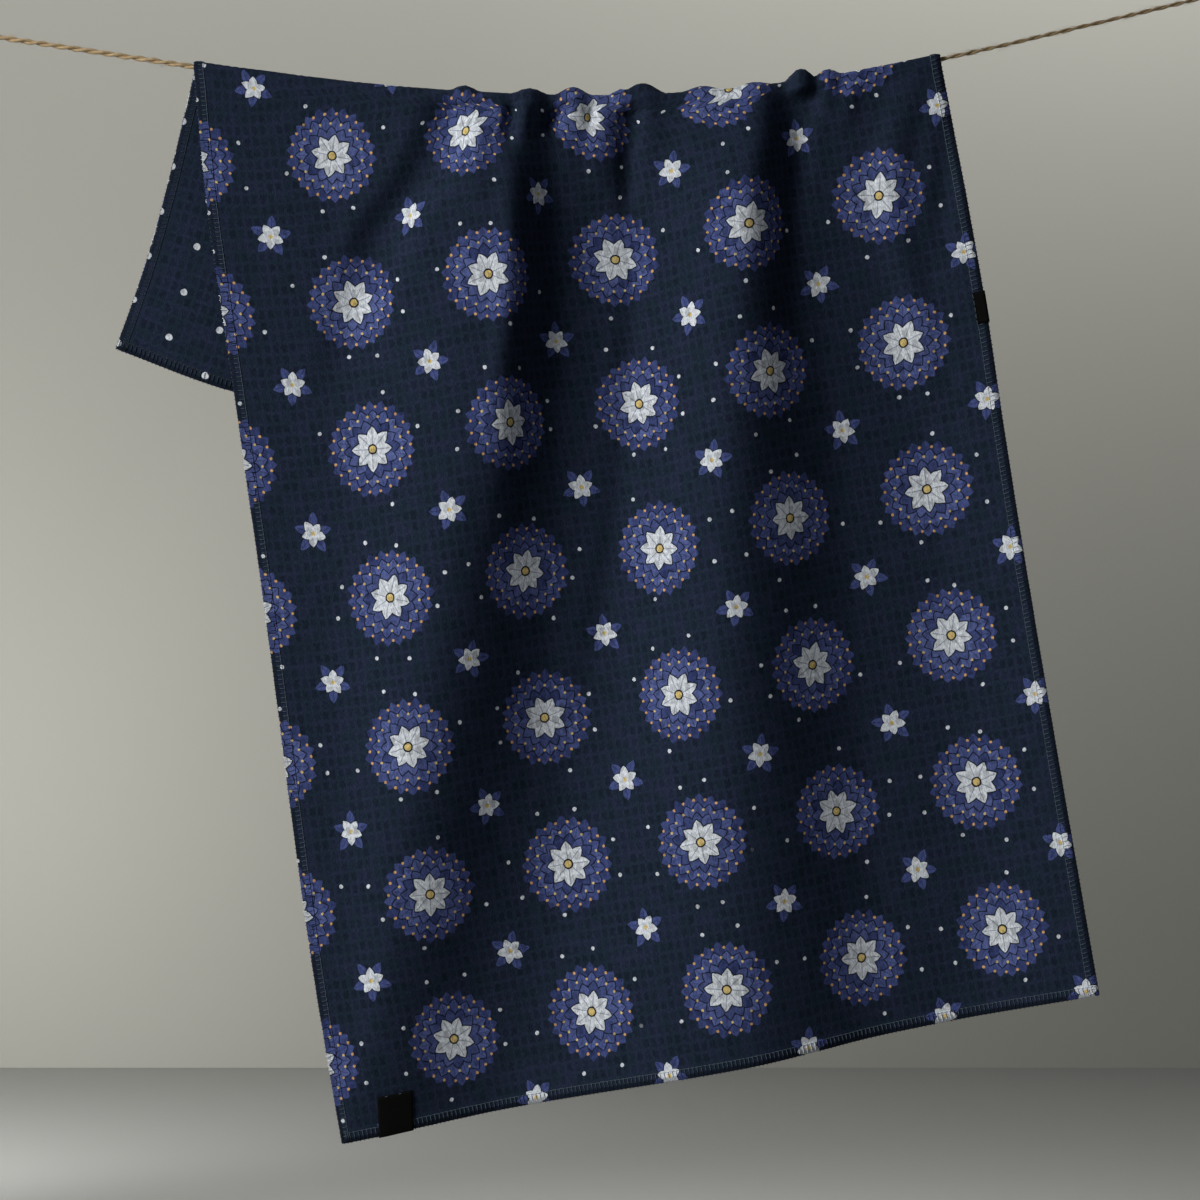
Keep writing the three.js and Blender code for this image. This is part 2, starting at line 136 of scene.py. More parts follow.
# Small gathers bunched on the line: where, how wide to each side, how high over the line,
# how far out in front, and how far down each one fades
GATHERS = [
    {"x": 281.7, "half": 9, "rise": 3.2, "out": 2, "reach": 30},
    {"x": 318, "half": 11, "rise": 3.3, "out": 5, "reach": 26},
    {"x": 342, "half": 10.5, "rise": 4.3, "out": 4.5, "reach": 30},
    {"x": 369, "half": 7.5, "rise": 3.2, "out": 2, "reach": 22},
    {"x": 380.4, "half": 14, "rise": 6, "out": 2.5, "reach": 35},
    {"x": 413.9, "half": 12, "rise": 2.6, "out": 1, "reach": 25},
    {"x": 442.3, "half": 11, "rise": 2, "out": 2, "reach": 30},
    {"x": 468.5, "half": 9.5, "rise": 6.3, "out": 6, "reach": 35},
    {"x": 483.6, "half": 8, "rise": 3.6, "out": 3, "reach": 22},
]

# Soft creases of the front flap beside its main folds. Each runs through places, x and z,
# with its half width and how far forward it comes at each place. A negative one is a trough.
CREASES = [
    # Ridge on the first crest
    {
        "half": 15, "out": [0, 3, 3.5, 3, 2, 0],
        "places": [(310, -60), (311, -130), (308, -170), (304, -210), (302, -250), (295, -300)],
    },
    # Trough left of the first crest
    {
        "half": 24, "out": [-6, -8, -8, -6, -4, 0],
        "places": [(278, -42), (262, -78), (242, -105), (231, -131), (222, -160), (208, -210)],
    },
    # Hollow under the second crest
    {
        "half": 14, "out": [-2, -3, 0],
        "places": [(463, -50), (461, -130), (464, -230)],
    },
    # Soft edge right of the first trough
    {
        "half": 12, "out": [-1, -1.2, -0.8, -0.5, 0],
        "places": [(377, -95), (369, -240), (352, -345), (331, -420), (312, -500)],
    },
    # Ridge right of the second trough
    {
        "half": 14, "out": [1, 4, 3, 3, 0],
        "places": [(529, -28), (519, -78), (521, -110), (533, -165), (542, -230)],
    },
    # Hollow beside the right side
    {
        "half": 11, "out": [-1, -2.5, 0],
        "places": [(554, -30), (549, -90), (546, -150)],
    },
]
# How gently each crease runs out past its ends
CREASE_END = 15

# Short folds between the gathers, from the line down: where each starts and ends, its half
# width and how far forward it comes. A negative one is a groove.
TOP_FOLDS = [
    {"from": (309, -36), "to": (305, -70), "half": 6.5, "out": -5.5},
    {"from": (341, -36), "to": (321, -62), "half": 5.5, "out": -5.5},
    {"from": (374.5, -36), "to": (372, -108), "half": 9.5, "out": -6},
    {"from": (353, -36), "to": (351, -58), "half": 4.5, "out": -3.5},
    {"from": (471, -24), "to": (465, -95), "half": 12, "out": -6},
    {"from": (290, -38), "to": (287, -100), "half": 8, "out": 2},
    {"from": (316, -33), "to": (313, -64), "half": 5.5, "out": 3.5},
    {"from": (359.5, -34), "to": (356, -92), "half": 10, "out": 4.5},
    {"from": (498, -24), "to": (492, -60), "half": 8, "out": 3},
]

# Unevenness of the hung cloth as soft bumps: their height, how far apart they are, the share
# that v counts for, so that they are longer upwards, and a seed. It fades out at the line.
SLACK = [
    {"height": 1.1, "pitch": 62, "v_share": 0.6, "seed": 11},
    {"height": 0.35, "pitch": 23, "v_share": 0.7, "seed": 12},
]
SLACK_ZONE = {"from": 4, "full_at": 60}
HEM_RIPPLE = {"height": 0.3, "pitch": 9, "seed": 13, "reach": 7}

# The camera, with the size of a photo pixel at the line's own distance
MM_PER_PIXEL = 0.5575
PHOTO_PIXELS = 1200
VIEW_CENTRE = {"x": 357.0, "z": -317.0}
CAMERA_DISTANCE = 2000.0
SENSOR_WIDTH = 36.0


def add_camera():
    data = bpy.data.cameras.new("camera")
    data.sensor_width = SENSOR_WIDTH
    data.lens = SENSOR_WIDTH * CAMERA_DISTANCE / (PHOTO_PIXELS * MM_PER_PIXEL)
    data.clip_end = 50
    camera = bpy.data.objects.new("camera", data)
    camera.location = (VIEW_CENTRE["x"] * MM, -CAMERA_DISTANCE * MM, VIEW_CENTRE["z"] * MM)
    camera.rotation_euler = (math.pi / 2, 0, 0)
    bpy.context.scene.collection.objects.link(camera)
    bpy.context.scene.camera = camera


add_camera()


# Shapes worked out from the tables above


def curve_through(xs, ys):
    """A smooth curve through points, level at each crest and trough and never past them."""
    xs, ys = np.asarray(xs, float), np.asarray(ys, float)
    rises = np.diff(ys) / np.diff(xs)
    slopes = np.empty(len(xs))
    slopes[0], slopes[-1] = rises[0], rises[-1]
    before, after = rises[:-1], rises[1:]
    climbs_on = before * after > 0
    total = np.where(climbs_on, before + after, 1)
    slopes[1:-1] = np.where(climbs_on, 2 * before * after / total, 0)

    def curve(x):
        i = np.clip(np.searchsorted(xs, x) - 1, 0, len(xs) - 2)
        width = xs[i + 1] - xs[i]
        t = np.clip((x - xs[i]) / width, 0, 1)
        u = 1 - t
        ends = ys[i] * (1 + 2 * t) * u**2 + ys[i + 1] * (3 - 2 * t) * t**2
        return ends + width * t * u * (slopes[i] * u - slopes[i + 1] * t)

    return curve


def bump(offset, half):
    """A soft bump, 1 in its middle and 0 from half a width out."""
    return np.maximum(0, 1 - (offset / half) ** 2) ** 2


def fade(distance, reach):
    return np.exp(-((distance / reach) ** 2))


def mix(a, b, share):
    return a + (b - a) * share


def smooth_step(value, low, high):
    t = np.clip((value - low) / (high - low), 0, 1)
    return t * t * (3 - 2 * t)


def smoothed(rows, passes):
    """Evens out each row along its length, and keeps the two ends of it level."""
    for _ in range(passes):
        padded = np.pad(rows, ((0, 0), (1, 1)), mode="edge")
        rows = (padded[:, :-2] + 2 * rows + padded[:, 2:]) / 4
    return rows


def edge_distance(u, v):
    """How far in from the nearest edge of the flat cloth a place is."""
    return np.minimum(np.minimum(u, CLOTH_WIDTH - u), np.minimum(v, CLOTH_LENGTH - v))


def unit(vectors):
    return vectors / np.maximum(np.linalg.norm(vectors, axis=-1, keepdims=True), 1e-9)


def running_total(steps):
    """How far along each point is, from 0 at the first."""
    return np.concatenate([[0], np.cumsum(steps)])


def soft_noise(u, v, pitch, seed):
    """Smooth random heights from -1 to 1, with bumps about one pitch apart."""
    u, v = np.asarray(u, float) / pitch, np.asarray(v, float) / pitch
    low_u, low_v = math.floor(u.min()), math.floor(v.min())
    size = (math.ceil(u.max()) - low_u + 2, math.ceil(v.max()) - low_v + 2)
    heights = np.random.default_rng(seed).uniform(-1, 1, size)
    i, j = np.floor(u).astype(int) - low_u, np.floor(v).astype(int) - low_v
    s, t = smooth_step(u - low_u - i, 0, 1), smooth_step(v - low_v - j, 0, 1)
    near = mix(heights[i, j], heights[i + 1, j], s)
    far = mix(heights[i, j + 1], heights[i + 1, j + 1], s)
    return mix(near, far, t)


line_height = curve_through([x for x, _ in LINE_ROUTE], [z for _, z in LINE_ROUTE])


def over_line(x):
    """How far the cloth's middle layer rises over the line's centre."""
    rises = [g["rise"] * bump(x - g["x"], g["half"]) for g in GATHERS]
    return TWINE_RADIUS + SEAT_GAP + HALF_CLOTH + np.max(rises, axis=0)


def from_run(x, z, start, end):
    """How far each place is from a straight run, and its share of the way along."""
    (x0, z0), (x1, z1) = start, end
    share = ((x - x0) * (x1 - x0) + (z - z0) * (z1 - z0)) / ((x1 - x0) ** 2 + (z1 - z0) ** 2)
    share = np.clip(share, 0, 1)
    return np.hypot(x - mix(x0, x1, share), z - mix(z0, z1, share)), share


def crease_depth(x, z):
    """How far forward the soft creases and the top folds bring the front flap."""
    total = np.zeros_like(x)
    for crease in CREASES:
        heights, downs = np.array(crease["places"]).T[::-1, ::-1]
        middle = curve_through(heights, downs)(z)
        out = curve_through(heights, crease["out"][::-1])(z)
        beyond = np.maximum(z - heights[-1], 0) + np.maximum(heights[0] - z, 0)
        total += out * bump(x - middle, crease["half"]) * fade(beyond, CREASE_END)
    for fold in TOP_FOLDS:
        away, share = from_run(x, z, fold["from"], fold["to"])
        total += fold["out"] * (1 - share**2) * bump(away, fold["half"])
    return total


class Flap:
    """One flap of the towel, from the line down to its hem."""

    WALK_STEPS = 1200
    # How far down the creases start, and where they are full
    CREASES_FROM, CREASES_FULL = 1, 9

    def __init__(self, folds, levels, left, right, hem, outward):
        self.left = curve_through(left["down"], left["x"])
        self.right = curve_through(right["down"], right["x"])
        self.hem_height = curve_through(hem["share"], hem["z"])
        self.outward = outward
        ends = {0: self.left, len(folds) - 1: self.right}
        self.tracks = [
            (
                curve_through(levels, fold["x"]) if fold["x"] else ends[i],
                curve_through(levels, fold["y"]),
            )
            for i, fold in enumerate(folds)
        ]

    def depth(self, x, down):
        """The depth of the cloth along one row, with the gathers still showing near the line."""
        xs = [float(where(down)) for where, _ in self.tracks]
        folded = curve_through(xs, [float(deep(down)) for _, deep in self.tracks])(x)
        drop = (line_height(x) - self.hem_height(0.5)) * down
        gathered = sum(
            g["out"]
            * bump(x - g["x"], g["half"] * (1 + drop / g["reach"] / 2))
            * fade(drop, g["reach"])
            for g in GATHERS
        )
        creased = crease_depth(x, line_height(x) - drop) if self.outward < 0 else 0
        clear_of_line = smooth_step(drop, self.CREASES_FROM, self.CREASES_FULL)
        return folded + self.outward * (gathered + creased * clear_of_line)

    def row(self, down, shares):
        """Columns share out the row by its own length, so that folds don't stretch the cloth."""
        x = np.linspace(float(self.left(down)), float(self.right(down)), self.WALK_STEPS + 1)
        y = self.depth(x, down)
        walked = running_total(np.hypot(np.diff(x), np.diff(y)))
        wanted = shares * walked[-1]
        return np.interp(wanted, walked, x), np.interp(wanted, walked, y)

    def points(self, down, shares):
        at_line, _ = self.row(0, shares)
        x, y = self.row(down, shares)
        return np.stack([x, y, mix(line_height(at_line), self.hem_height(shares), down)], 1)


front = Flap(FRONT_FOLDS, FOLD_LEVELS, FRONT_LEFT_SIDE, FRONT_RIGHT_SIDE, FRONT_HEM, -1)
back = Flap(BACK_FOLDS, BACK_LEVELS, BACK_LEFT_SIDE, BACK_RIGHT_SIDE, BACK_HEM, 1)


def over_line_points(turn, shares):
    """One row over the line, turned from 0 at the front to pi at the back."""
    front_x, front_y = front.row(0, shares)
    back_x, back_y = back.row(0, shares)
    x = mix(front_x, back_x, turn / math.pi)
    y = math.cos(turn) * (front_y if turn < math.pi / 2 else -back_y)
    return np.stack([x, y, line_height(x) + over_line(x) * math.sin(turn)], 1)


class Cloth:
    """The cloth's middle layer, as a lookup from places on the flat cloth to places in space."""

    ROW_PITCH = 0.5
    FRONT_ROWS = 240
    BACK_ROWS = 90
    OVER_ROWS = 26
    ROW_EASE = 400

    def __init__(self):
        shares = np.linspace(0, 1, COLUMNS + 1)
        downs = np.linspace(1, 0, self.FRONT_ROWS + 1) ** 1.5
        rows = [front.points(down, shares) for down in downs]
        turns = np.linspace(0, math.pi, self.OVER_ROWS + 1)[1:-1]
        rows += [over_line_points(turn, shares) for turn in turns]
        rows += [back.points(down, shares) for down in np.linspace(0, 1, self.BACK_ROWS + 1) ** 1.5]
        path = np.array(rows)
        steps = np.linalg.norm(np.diff(path, axis=0), axis=2)
        along = np.concatenate([np.zeros((1, len(shares))), np.cumsum(steps, axis=0)])
        along = smoothed(along * CLOTH_LENGTH / along[-1], self.ROW_EASE)
        self.v_at_line = along[self.FRONT_ROWS]
        self.rows = round(CLOTH_LENGTH / self.ROW_PITCH)
        v = np.linspace(0, CLOTH_LENGTH, self.rows + 1)
        self.grid = np.empty((len(v), len(shares), 3))
        for column in range(len(shares)):
            for axis in range(3):
                self.grid[:, column, axis] = np.interp(v, along[:, column], path[:, column, axis])
        self.set_directions()
        self.add_unevenness(shares * CLOTH_WIDTH, v)
        self.set_directions()

    def set_directions(self):
        self.across = unit(np.gradient(self.grid, axis=1))
        self.along = unit(np.gradient(self.grid, axis=0))
        self.out = unit(np.cross(self.across, self.along))

    def add_unevenness(self, u, v):
        """Slack in the hung cloth, and ripples where the edge stitching draws the hems in."""
        v, u = np.meshgrid(v, u, indexing="ij")
        from_line = np.abs(v - self.v_at_line)
        off_line = smooth_step(from_line, SLACK_ZONE["from"], SLACK_ZONE["full_at"])
        slack = sum(
            bumps["height"] * soft_noise(u, v * bumps["v_share"], bumps["pitch"], bumps["seed"])
            for bumps in SLACK
        )
        ripple = soft_noise(u, v, HEM_RIPPLE["pitch"], HEM_RIPPLE["seed"])
        ripple = HEM_RIPPLE["height"] * ripple * fade(edge_distance(u, v), HEM_RIPPLE["reach"])
        self.grid += self.out * (off_line * (slack + ripple))[..., None]

    def look_up(self, table, u, v):
        column = np.clip(np.asarray(u, float) / CLOTH_WIDTH, 0, 1) * COLUMNS
        row = np.clip(np.asarray(v, float) / CLOTH_LENGTH, 0, 1) * self.rows
        i = np.minimum(column.astype(int), COLUMNS - 1)
        j = np.minimum(row.astype(int), self.rows - 1)
        s, t = (column - i)[..., None], (row - j)[..., None]
        lower = mix(table[j, i], table[j, i + 1], s)
        upper = mix(table[j + 1, i], table[j + 1, i + 1], s)
        return mix(lower, upper, t)

    def place(self, u, v, out=0.0):
        """The place of a point on the cloth, some way out from the middle of its thickness.
        A point past the edge of the cloth lies on along the cloth's own slope."""
        u, v = np.asarray(u, float), np.asarray(v, float)
        over_u = u - np.clip(u, 0, CLOTH_WIDTH)
        over_v = v - np.clip(v, 0, CLOTH_LENGTH)
        place = self.look_up(self.grid, u, v)
        place += self.look_up(self.across, u, v) * over_u[..., None]
        place += self.look_up(self.along, u, v) * over_v[..., None]
        return place + unit(self.look_up(self.out, u, v)) * np.asarray(out, float)[..., None]


cloth = Cloth()


# Meshes


def add_mesh(name, vertices, faces, materials, smooth=True):
    """Makes a piece from points in millimetres."""
    mesh = bpy.data.meshes.new(name)
    mesh.from_pydata((np.asarray(vertices) * MM).tolist(), [], [tuple(face) for face in faces])
    for material in materials:
        mesh.materials.append(material)
    if smooth:
        mesh.shade_smooth()
    piece = bpy.data.objects.new(name, mesh)
    bpy.context.scene.collection.objects.link(piece)
    return piece


def add_map(piece, name, places):
    """Stores a place for each face corner as a UV map."""
    layer = piece.data.uv_layers.new(name=name, do_init=False)
    layer.uv.foreach_set("vector", np.asarray(places, np.float32).ravel())
    return layer


def corner_vertices(piece):
    corners = np.empty(len(piece.data.loops), np.int32)
    piece.data.loops.foreach_get("vertex_index", corners)
    return corners


def tubes(paths, ups, radius, sides):
    """Closed round tubes along many paths of the same count of points, as vertices and faces."""
    paths = np.asarray(paths, float)
    count, length = paths.shape[:2]
    tangents = unit(np.gradient(paths, axis=1))
    right = unit(np.cross(tangents, np.broadcast_to(ups, paths.shape)))
    above = np.cross(right, tangents)
    angles = np.arange(sides) * TAU / sides
    radius = np.broadcast_to(np.asarray(radius, float), (count, length))[..., None, None]
    ring = np.cos(angles)[:, None] * right[:, :, None] + np.sin(angles)[:, None] * above[:, :, None]
    vertices = (paths[:, :, None] + radius * ring).reshape(-1, 3)
    side = np.arange(sides)
    step = np.arange(length - 1)[:, None] * sides
    a, b = step + side, step + (side + 1) % sides
    walls = np.stack([a, b, b + sides, a + sides], -1).reshape(-1, 4)
    faces = []
    for tube in range(count):
        first = tube * length * sides
        faces += (walls + first).tolist()
        faces.append((first + side[::-1]).tolist())
        faces.append((first + (length - 1) * sides + side).tolist())
    return vertices, faces


# Materials


def math_step(operation, swapped=False):
    """A method that adds one step of a formula to the material."""

    def method(self, *others):
        values = (*others, self) if swapped else (self, *others)
        return self.graph.math(operation, *values)

    return method


class Term:
    """A number that a material works out, so that its formulas read as they do in Python."""

    __add__ = __radd__ = math_step("ADD")
    __sub__ = math_step("SUBTRACT")
    __rsub__ = math_step("SUBTRACT", swapped=True)
    __mul__ = __rmul__ = math_step("MULTIPLY")
    __truediv__ = math_step("DIVIDE")
    __mod__ = math_step("FLOORED_MODULO")
    __abs__ = math_step("ABSOLUTE")
    floor = math_step("FLOOR")
    sine = math_step("SINE")
    cosine = math_step("COSINE")

    def __init__(self, graph, socket):
        self.graph = graph
        self.socket = socket

    def ramp(self, low, high):
        """Rises smoothly from 0 at low to 1 at high, or falls where high is under low."""
        node = self.graph.node("ShaderNodeMapRange", interpolation_type="SMOOTHSTEP")
        self.graph.join(self, node.inputs["Value"])
        node.inputs["From Min"].default_value = min(low, high)
        node.inputs["From Max"].default_value = max(low, high)
        node.inputs["To Min"].default_value = 0.0 if low < high else 1.0
        node.inputs["To Max"].default_value = 1.0 if low < high else 0.0
        return Term(self.graph, node.outputs["Result"])


class Graph:
    """A material's nodes, added by formula."""

    # Places of the colour sockets on a Mix node
    MIX_FACTOR, MIX_FIRST, MIX_SECOND, MIX_RESULT = 0, 6, 7, 2

    def __init__(self, name):
        self.material = bpy.data.materials.new(name)
        self.material.use_nodes = True
        self.tree = self.material.node_tree
        self.tree.nodes.clear()

    def node(self, kind, **settings):
        node = self.tree.nodes.new(kind)
        for name, value in settings.items():
            setattr(node, name, value)
        return node

    def join(self, value, socket):
        """Links a term to a socket, or sets the socket to a plain number or colour."""
        if isinstance(value, Term):
            self.tree.links.new(value.socket, socket)
        elif isinstance(value, (tuple, list)):
            socket.default_value = (*value, 1.0)[: len(socket.default_value)]
        else:
            socket.default_value = value

    def math(self, operation, *values):
        node = self.node("ShaderNodeMath", operation=operation)
        for value, socket in zip(values, node.inputs, strict=False):
            self.join(value, socket)
        return Term(self, node.outputs["Value"])

    def map_place(self, name):
        """The two numbers of a UV map."""
        source = self.node("ShaderNodeUVMap", uv_map=name)
        parts = self.node("ShaderNodeSeparateXYZ")
        self.tree.links.new(source.outputs["UV"], parts.inputs["Vector"])
        return Term(self, parts.outputs["X"]), Term(self, parts.outputs["Y"])

    def vector(self, x, y, z=0.0):
        node = self.node("ShaderNodeCombineXYZ")
        for value, socket in zip((x, y, z), node.inputs, strict=True):
            self.join(value, socket)
        return Term(self, node.outputs["Vector"])

    def noise(self, place, scale, detail=2.0, roughness=0.5):
        node = self.node("ShaderNodeTexNoise")
        self.join(place, node.inputs["Vector"])
        node.inputs["Scale"].default_value = scale
        node.inputs["Detail"].default_value = detail
        node.inputs["Roughness"].default_value = roughness
        return Term(self, node.outputs["Fac"])

    def chance(self, x, y, z=0.0):
        """A random number from 0 to 1 that is the same all over one cell."""
        node = self.node("ShaderNodeTexWhiteNoise", noise_dimensions="3D")
        self.join(self.vector(x, y, z), node.inputs["Vector"])
        return Term(self, node.outputs["Value"])

    def blend(self, factor, first, second):
        """The first colour where factor is 0 and the second where it is 1."""
        node = self.node("ShaderNodeMix", data_type="RGBA")
        self.join(factor, node.inputs[self.MIX_FACTOR])
        self.join(first, node.inputs[self.MIX_FIRST])
        self.join(second, node.inputs[self.MIX_SECOND])
        return Term(self, node.outputs[self.MIX_RESULT])

    def scaled(self, colour, factor):
        node = self.node("ShaderNodeVectorMath", operation="SCALE")
        self.join(colour, node.inputs["Vector"])
        self.join(factor, node.inputs["Scale"])
        return Term(self, node.outputs["Vector"])

    def bump(self, height, depth, strength=1.0, under=None):
        """A bump whose height of 1 stands depth millimetres proud."""
        node = self.node("ShaderNodeBump")
        node.inputs["Distance"].default_value = depth * MM
        node.inputs["Strength"].default_value = strength
        self.join(height, node.inputs["Height"])
        if under is not None:
            self.join(under, node.inputs["Normal"])
        return Term(self, node.outputs["Normal"])

    def finish(self, colour, roughness, normal=None, sheen=0.0, sheen_tint=(1, 1, 1), specular=0.3):
        shader = self.node("ShaderNodeBsdfPrincipled")
        output = self.node("ShaderNodeOutputMaterial")
        values = {
            "Base Color": colour,
            "Roughness": roughness,
            "Specular IOR Level": specular,
            "Sheen Weight": sheen,
            "Sheen Roughness": 0.5,
            "Sheen Tint": sheen_tint,
        }
        for name, value in values.items():
            self.join(value, shader.inputs[name])
        if normal is not None:
            self.join(normal, shader.inputs["Normal"])
        self.tree.links.new(shader.outputs["BSDF"], output.inputs["Surface"])
        return self.material


# Colours, linear
NAVY_TEAL = (0.0135, 0.0240, 0.0400)
NAVY_PURPLE = (0.0170, 0.0235, 0.0470)
NAVY_LINE = (0.0085, 0.0125, 0.0220)
DEEP_BLUE = (0.033, 0.046, 0.135)
LEAF_BLUE = (0.062, 0.083, 0.225)
SKY_BLUE = (0.098, 0.125, 0.300)
PRINT_WHITE = (0.66, 0.70, 0.74)
STAMEN_YELLOW = (0.66, 0.50, 0.19)
STAMEN_AMBER = (0.66, 0.38, 0.15)
THREAD_BLUE = (0.066, 0.090, 0.115)
SEAM_DARK = (0.0060, 0.0085, 0.0130)
LABEL_BLACK = (0.0042, 0.0042, 0.0038)
STRAW = (0.80, 0.62, 0.36)
JUTE_SHADE = (0.36, 0.23, 0.11)
JUTE_BROWN = (0.40, 0.26, 0.125)

# The front's print: round flowers on a square lattice, with a small one between each four,
# and dots strewn over the bare ground
REPEAT = 83.0
REPEAT_SHIFT = {"u": 33.5, "v": 3.0}
DOT_RADIUS = 1.1
DOT_JITTER = 8.0
# The reverse's dots, in two lattices that are half a pitch apart
REVERSE_DOTS = {"pitch_u": 51.0, "pitch_v": 26.6, "radius": 1.9}
# How far the pile shifts the print, how much more it shifts the cells, and how dark the painted
# shade in a pit is
INK_WOBBLE = 0.5
CELL_WOBBLE = 2.2
PIT_SHADE = 0.34


def lattice(value, pitch, shift=0.0):
    """The number of the cell that a place is in, and its distance from the cell's middle."""
    steps = (value - shift) / pitch
    index = steps.floor()
    return index, (steps - index - 0.5) * pitch


def polar(graph, x, y):
    radius = graph.math("SQRT", x * x + y * y)
    return radius, graph.math("ARCTAN2", y, x)


class Ring:
    """A ring of pointed petals: how many, where they start and end, and how wide they are."""

    UNEVEN = 1.4

    def __init__(self, graph, place, cell, count, start, end, half_width, turn=0.0):
        self.graph = graph
        radius, angle = place
        sector = angle * (count / TAU) + turn
        index = sector.floor()
        self.chance = graph.chance(index % count, *cell)
        aside = abs(sector - index - 0.5) * radius * (TAU / count)
        half_length = (end - start) / 2
        middle = (start + end + self.UNEVEN) / 2
        along = (radius + self.chance * self.UNEVEN - middle) * (1 / half_length)
        edge = 1.0 - along * along - aside * (1 / half_width)
        self.shape = edge.ramp(-0.05, 0.12)
        self.outline = edge.ramp(-0.35, -0.12)
        self.vein = aside.ramp(0.42, 0.12) * edge.ramp(0.15, 0.5)

    def shades(self, dark, light):
        """A tone of its own for each petal."""
        return self.graph.blend(self.chance, dark, light)

    def over(self, ground, petals, outlined=True, veins=0.0):
        """The petals over a ground, with dark lines round them and along their veins."""
        if outlined:
            ground = self.graph.blend(self.outline, ground, NAVY_LINE)
        colour = self.graph.blend(self.shape, ground, petals)
        return self.graph.blend(self.vein * veins, colour, DEEP_BLUE) if veins else colour


def dot(graph, x, y, radius):
    """1 inside a dot whose middle is at 0, 0."""
    away, _ = polar(graph, x, y)
    return away.ramp(radius + 0.2, radius - 0.15)


def ring_of_dots(graph, place, count, middle, dot_radius, turn=0.0):
    radius, angle = place
    sector = angle * (count / TAU) + turn
    aside = (sector - sector.floor() - 0.5) * (TAU / count) * radius
    away, _ = polar(graph, radius - middle, aside)
    return away.ramp(dot_radius + 0.25, dot_radius - 0.2)


def round_flower(graph, u, v, colour):
    """A round flower of blue petals with a white heart and yellow stamens, 54 mm across."""
    column, x = lattice(u, REPEAT, REPEAT_SHIFT["u"])
    row, y = lattice(v, REPEAT, REPEAT_SHIFT["v"])
    radius, angle = polar(graph, x, y)
    place = (radius, angle + column * 0.7 + row * 1.3)
    cell = (column, row)
    outer = Ring(graph, place, cell, 22, 16.0, 27.0, 3.6)
    colour = outer.over(colour, outer.shades(DEEP_BLUE, LEAF_BLUE), outlined=False)
    middle = Ring(graph, place, cell, 18, 11.5, 21.8, 3.3, 0.5)
    colour = middle.over(colour, middle.shades(LEAF_BLUE, SKY_BLUE), veins=0.7)
    inner = Ring(graph, place, cell, 14, 6.5, 16.6, 3.2)
    colour = inner.over(colour, inner.shades(DEEP_BLUE, SKY_BLUE))
    heart = Ring(graph, place, cell, 8, 0.4, 12.4, 3.7)
    colour = heart.over(colour, PRINT_WHITE, veins=0.55)
    colour = graph.blend(ring_of_dots(graph, place, 22, 23.6, 0.75, 0.5), colour, STAMEN_AMBER)
    colour = graph.blend(ring_of_dots(graph, place, 18, 18.2, 0.7), colour, STAMEN_YELLOW)
    colour = graph.blend(radius.ramp(3.1, 2.7), colour, NAVY_LINE)
    return graph.blend(radius.ramp(2.2, 1.8), colour, STAMEN_YELLOW)


def small_flower(graph, u, v, colour):
    """A small white flower with blue leaves, between four round ones."""
    column, x = lattice(u, REPEAT, REPEAT_SHIFT["u"] + REPEAT / 2)
    row, y = lattice(v, REPEAT, REPEAT_SHIFT["v"] + REPEAT / 2)
    radius, angle = polar(graph, x, y)
    place = (radius, angle + column * 0.9 - row * 0.6)
    cell = (column, row)
    leaves = Ring(graph, place, cell, 5, 2.5, 11.5, 2.6, 0.5)
    colour = leaves.over(colour, LEAF_BLUE, outlined=False, veins=0.8)
    petals = Ring(graph, place, cell, 5, 0.2, 7.2, 2.7)
    colour = petals.over(colour, PRINT_WHITE)
    return graph.blend(radius.ramp(1.4, 1.0), colour, STAMEN_YELLOW)


def scattered_dots(graph, u, v, colour):
    """White dots strewn over the bare ground: four places across each repeat, used where one
    way alone is near a round flower's middle."""
    pitch = REPEAT / 4
    column, x = lattice(u, pitch, REPEAT_SHIFT["u"])
    row, y = lattice(v, pitch, REPEAT_SHIFT["v"])
    aside = graph.chance(column, row, 3.0)
    x = x + (aside - 0.5) * DOT_JITTER
    y = y + (graph.chance(column, row, 7.0) - 0.5) * DOT_JITTER
    wave_u = ((u - REPEAT_SHIFT["u"]) * (TAU / REPEAT)).cosine()
    wave_v = ((v - REPEAT_SHIFT["v"]) * (TAU / REPEAT)).cosine()
    bare = (wave_u * wave_v).ramp(0.0, -0.1) * (aside * 7.0 % 1.0).ramp(0.26, 0.28)
    return graph.blend(dot(graph, x, y, DOT_RADIUS) * bare, colour, PRINT_WHITE)


def front_print(graph, u, v, colour):
    colour = scattered_dots(graph, u, v, colour)
    colour = round_flower(graph, u, v, colour)
    return small_flower(graph, u, v, colour)


def reverse_print(graph, u, v, colour):
    for shift in (0.0, 0.5):
        _, x = lattice(u, REVERSE_DOTS["pitch_u"], shift * REVERSE_DOTS["pitch_u"])
        _, y = lattice(v, REVERSE_DOTS["pitch_v"], shift * REVERSE_DOTS["pitch_v"])
        colour = graph.blend(dot(graph, x, y, REVERSE_DOTS["radius"]), colour, PRINT_WHITE)
    return colour


def from_edge(graph, u, v):
    """How far in from the nearest edge of the cloth a place is."""
    in_u = CLOTH_WIDTH / 2 - abs(u - CLOTH_WIDTH / 2)
    in_v = CLOTH_LENGTH / 2 - abs(v - CLOTH_LENGTH / 2)
    return graph.math("MINIMUM", in_u, in_v)


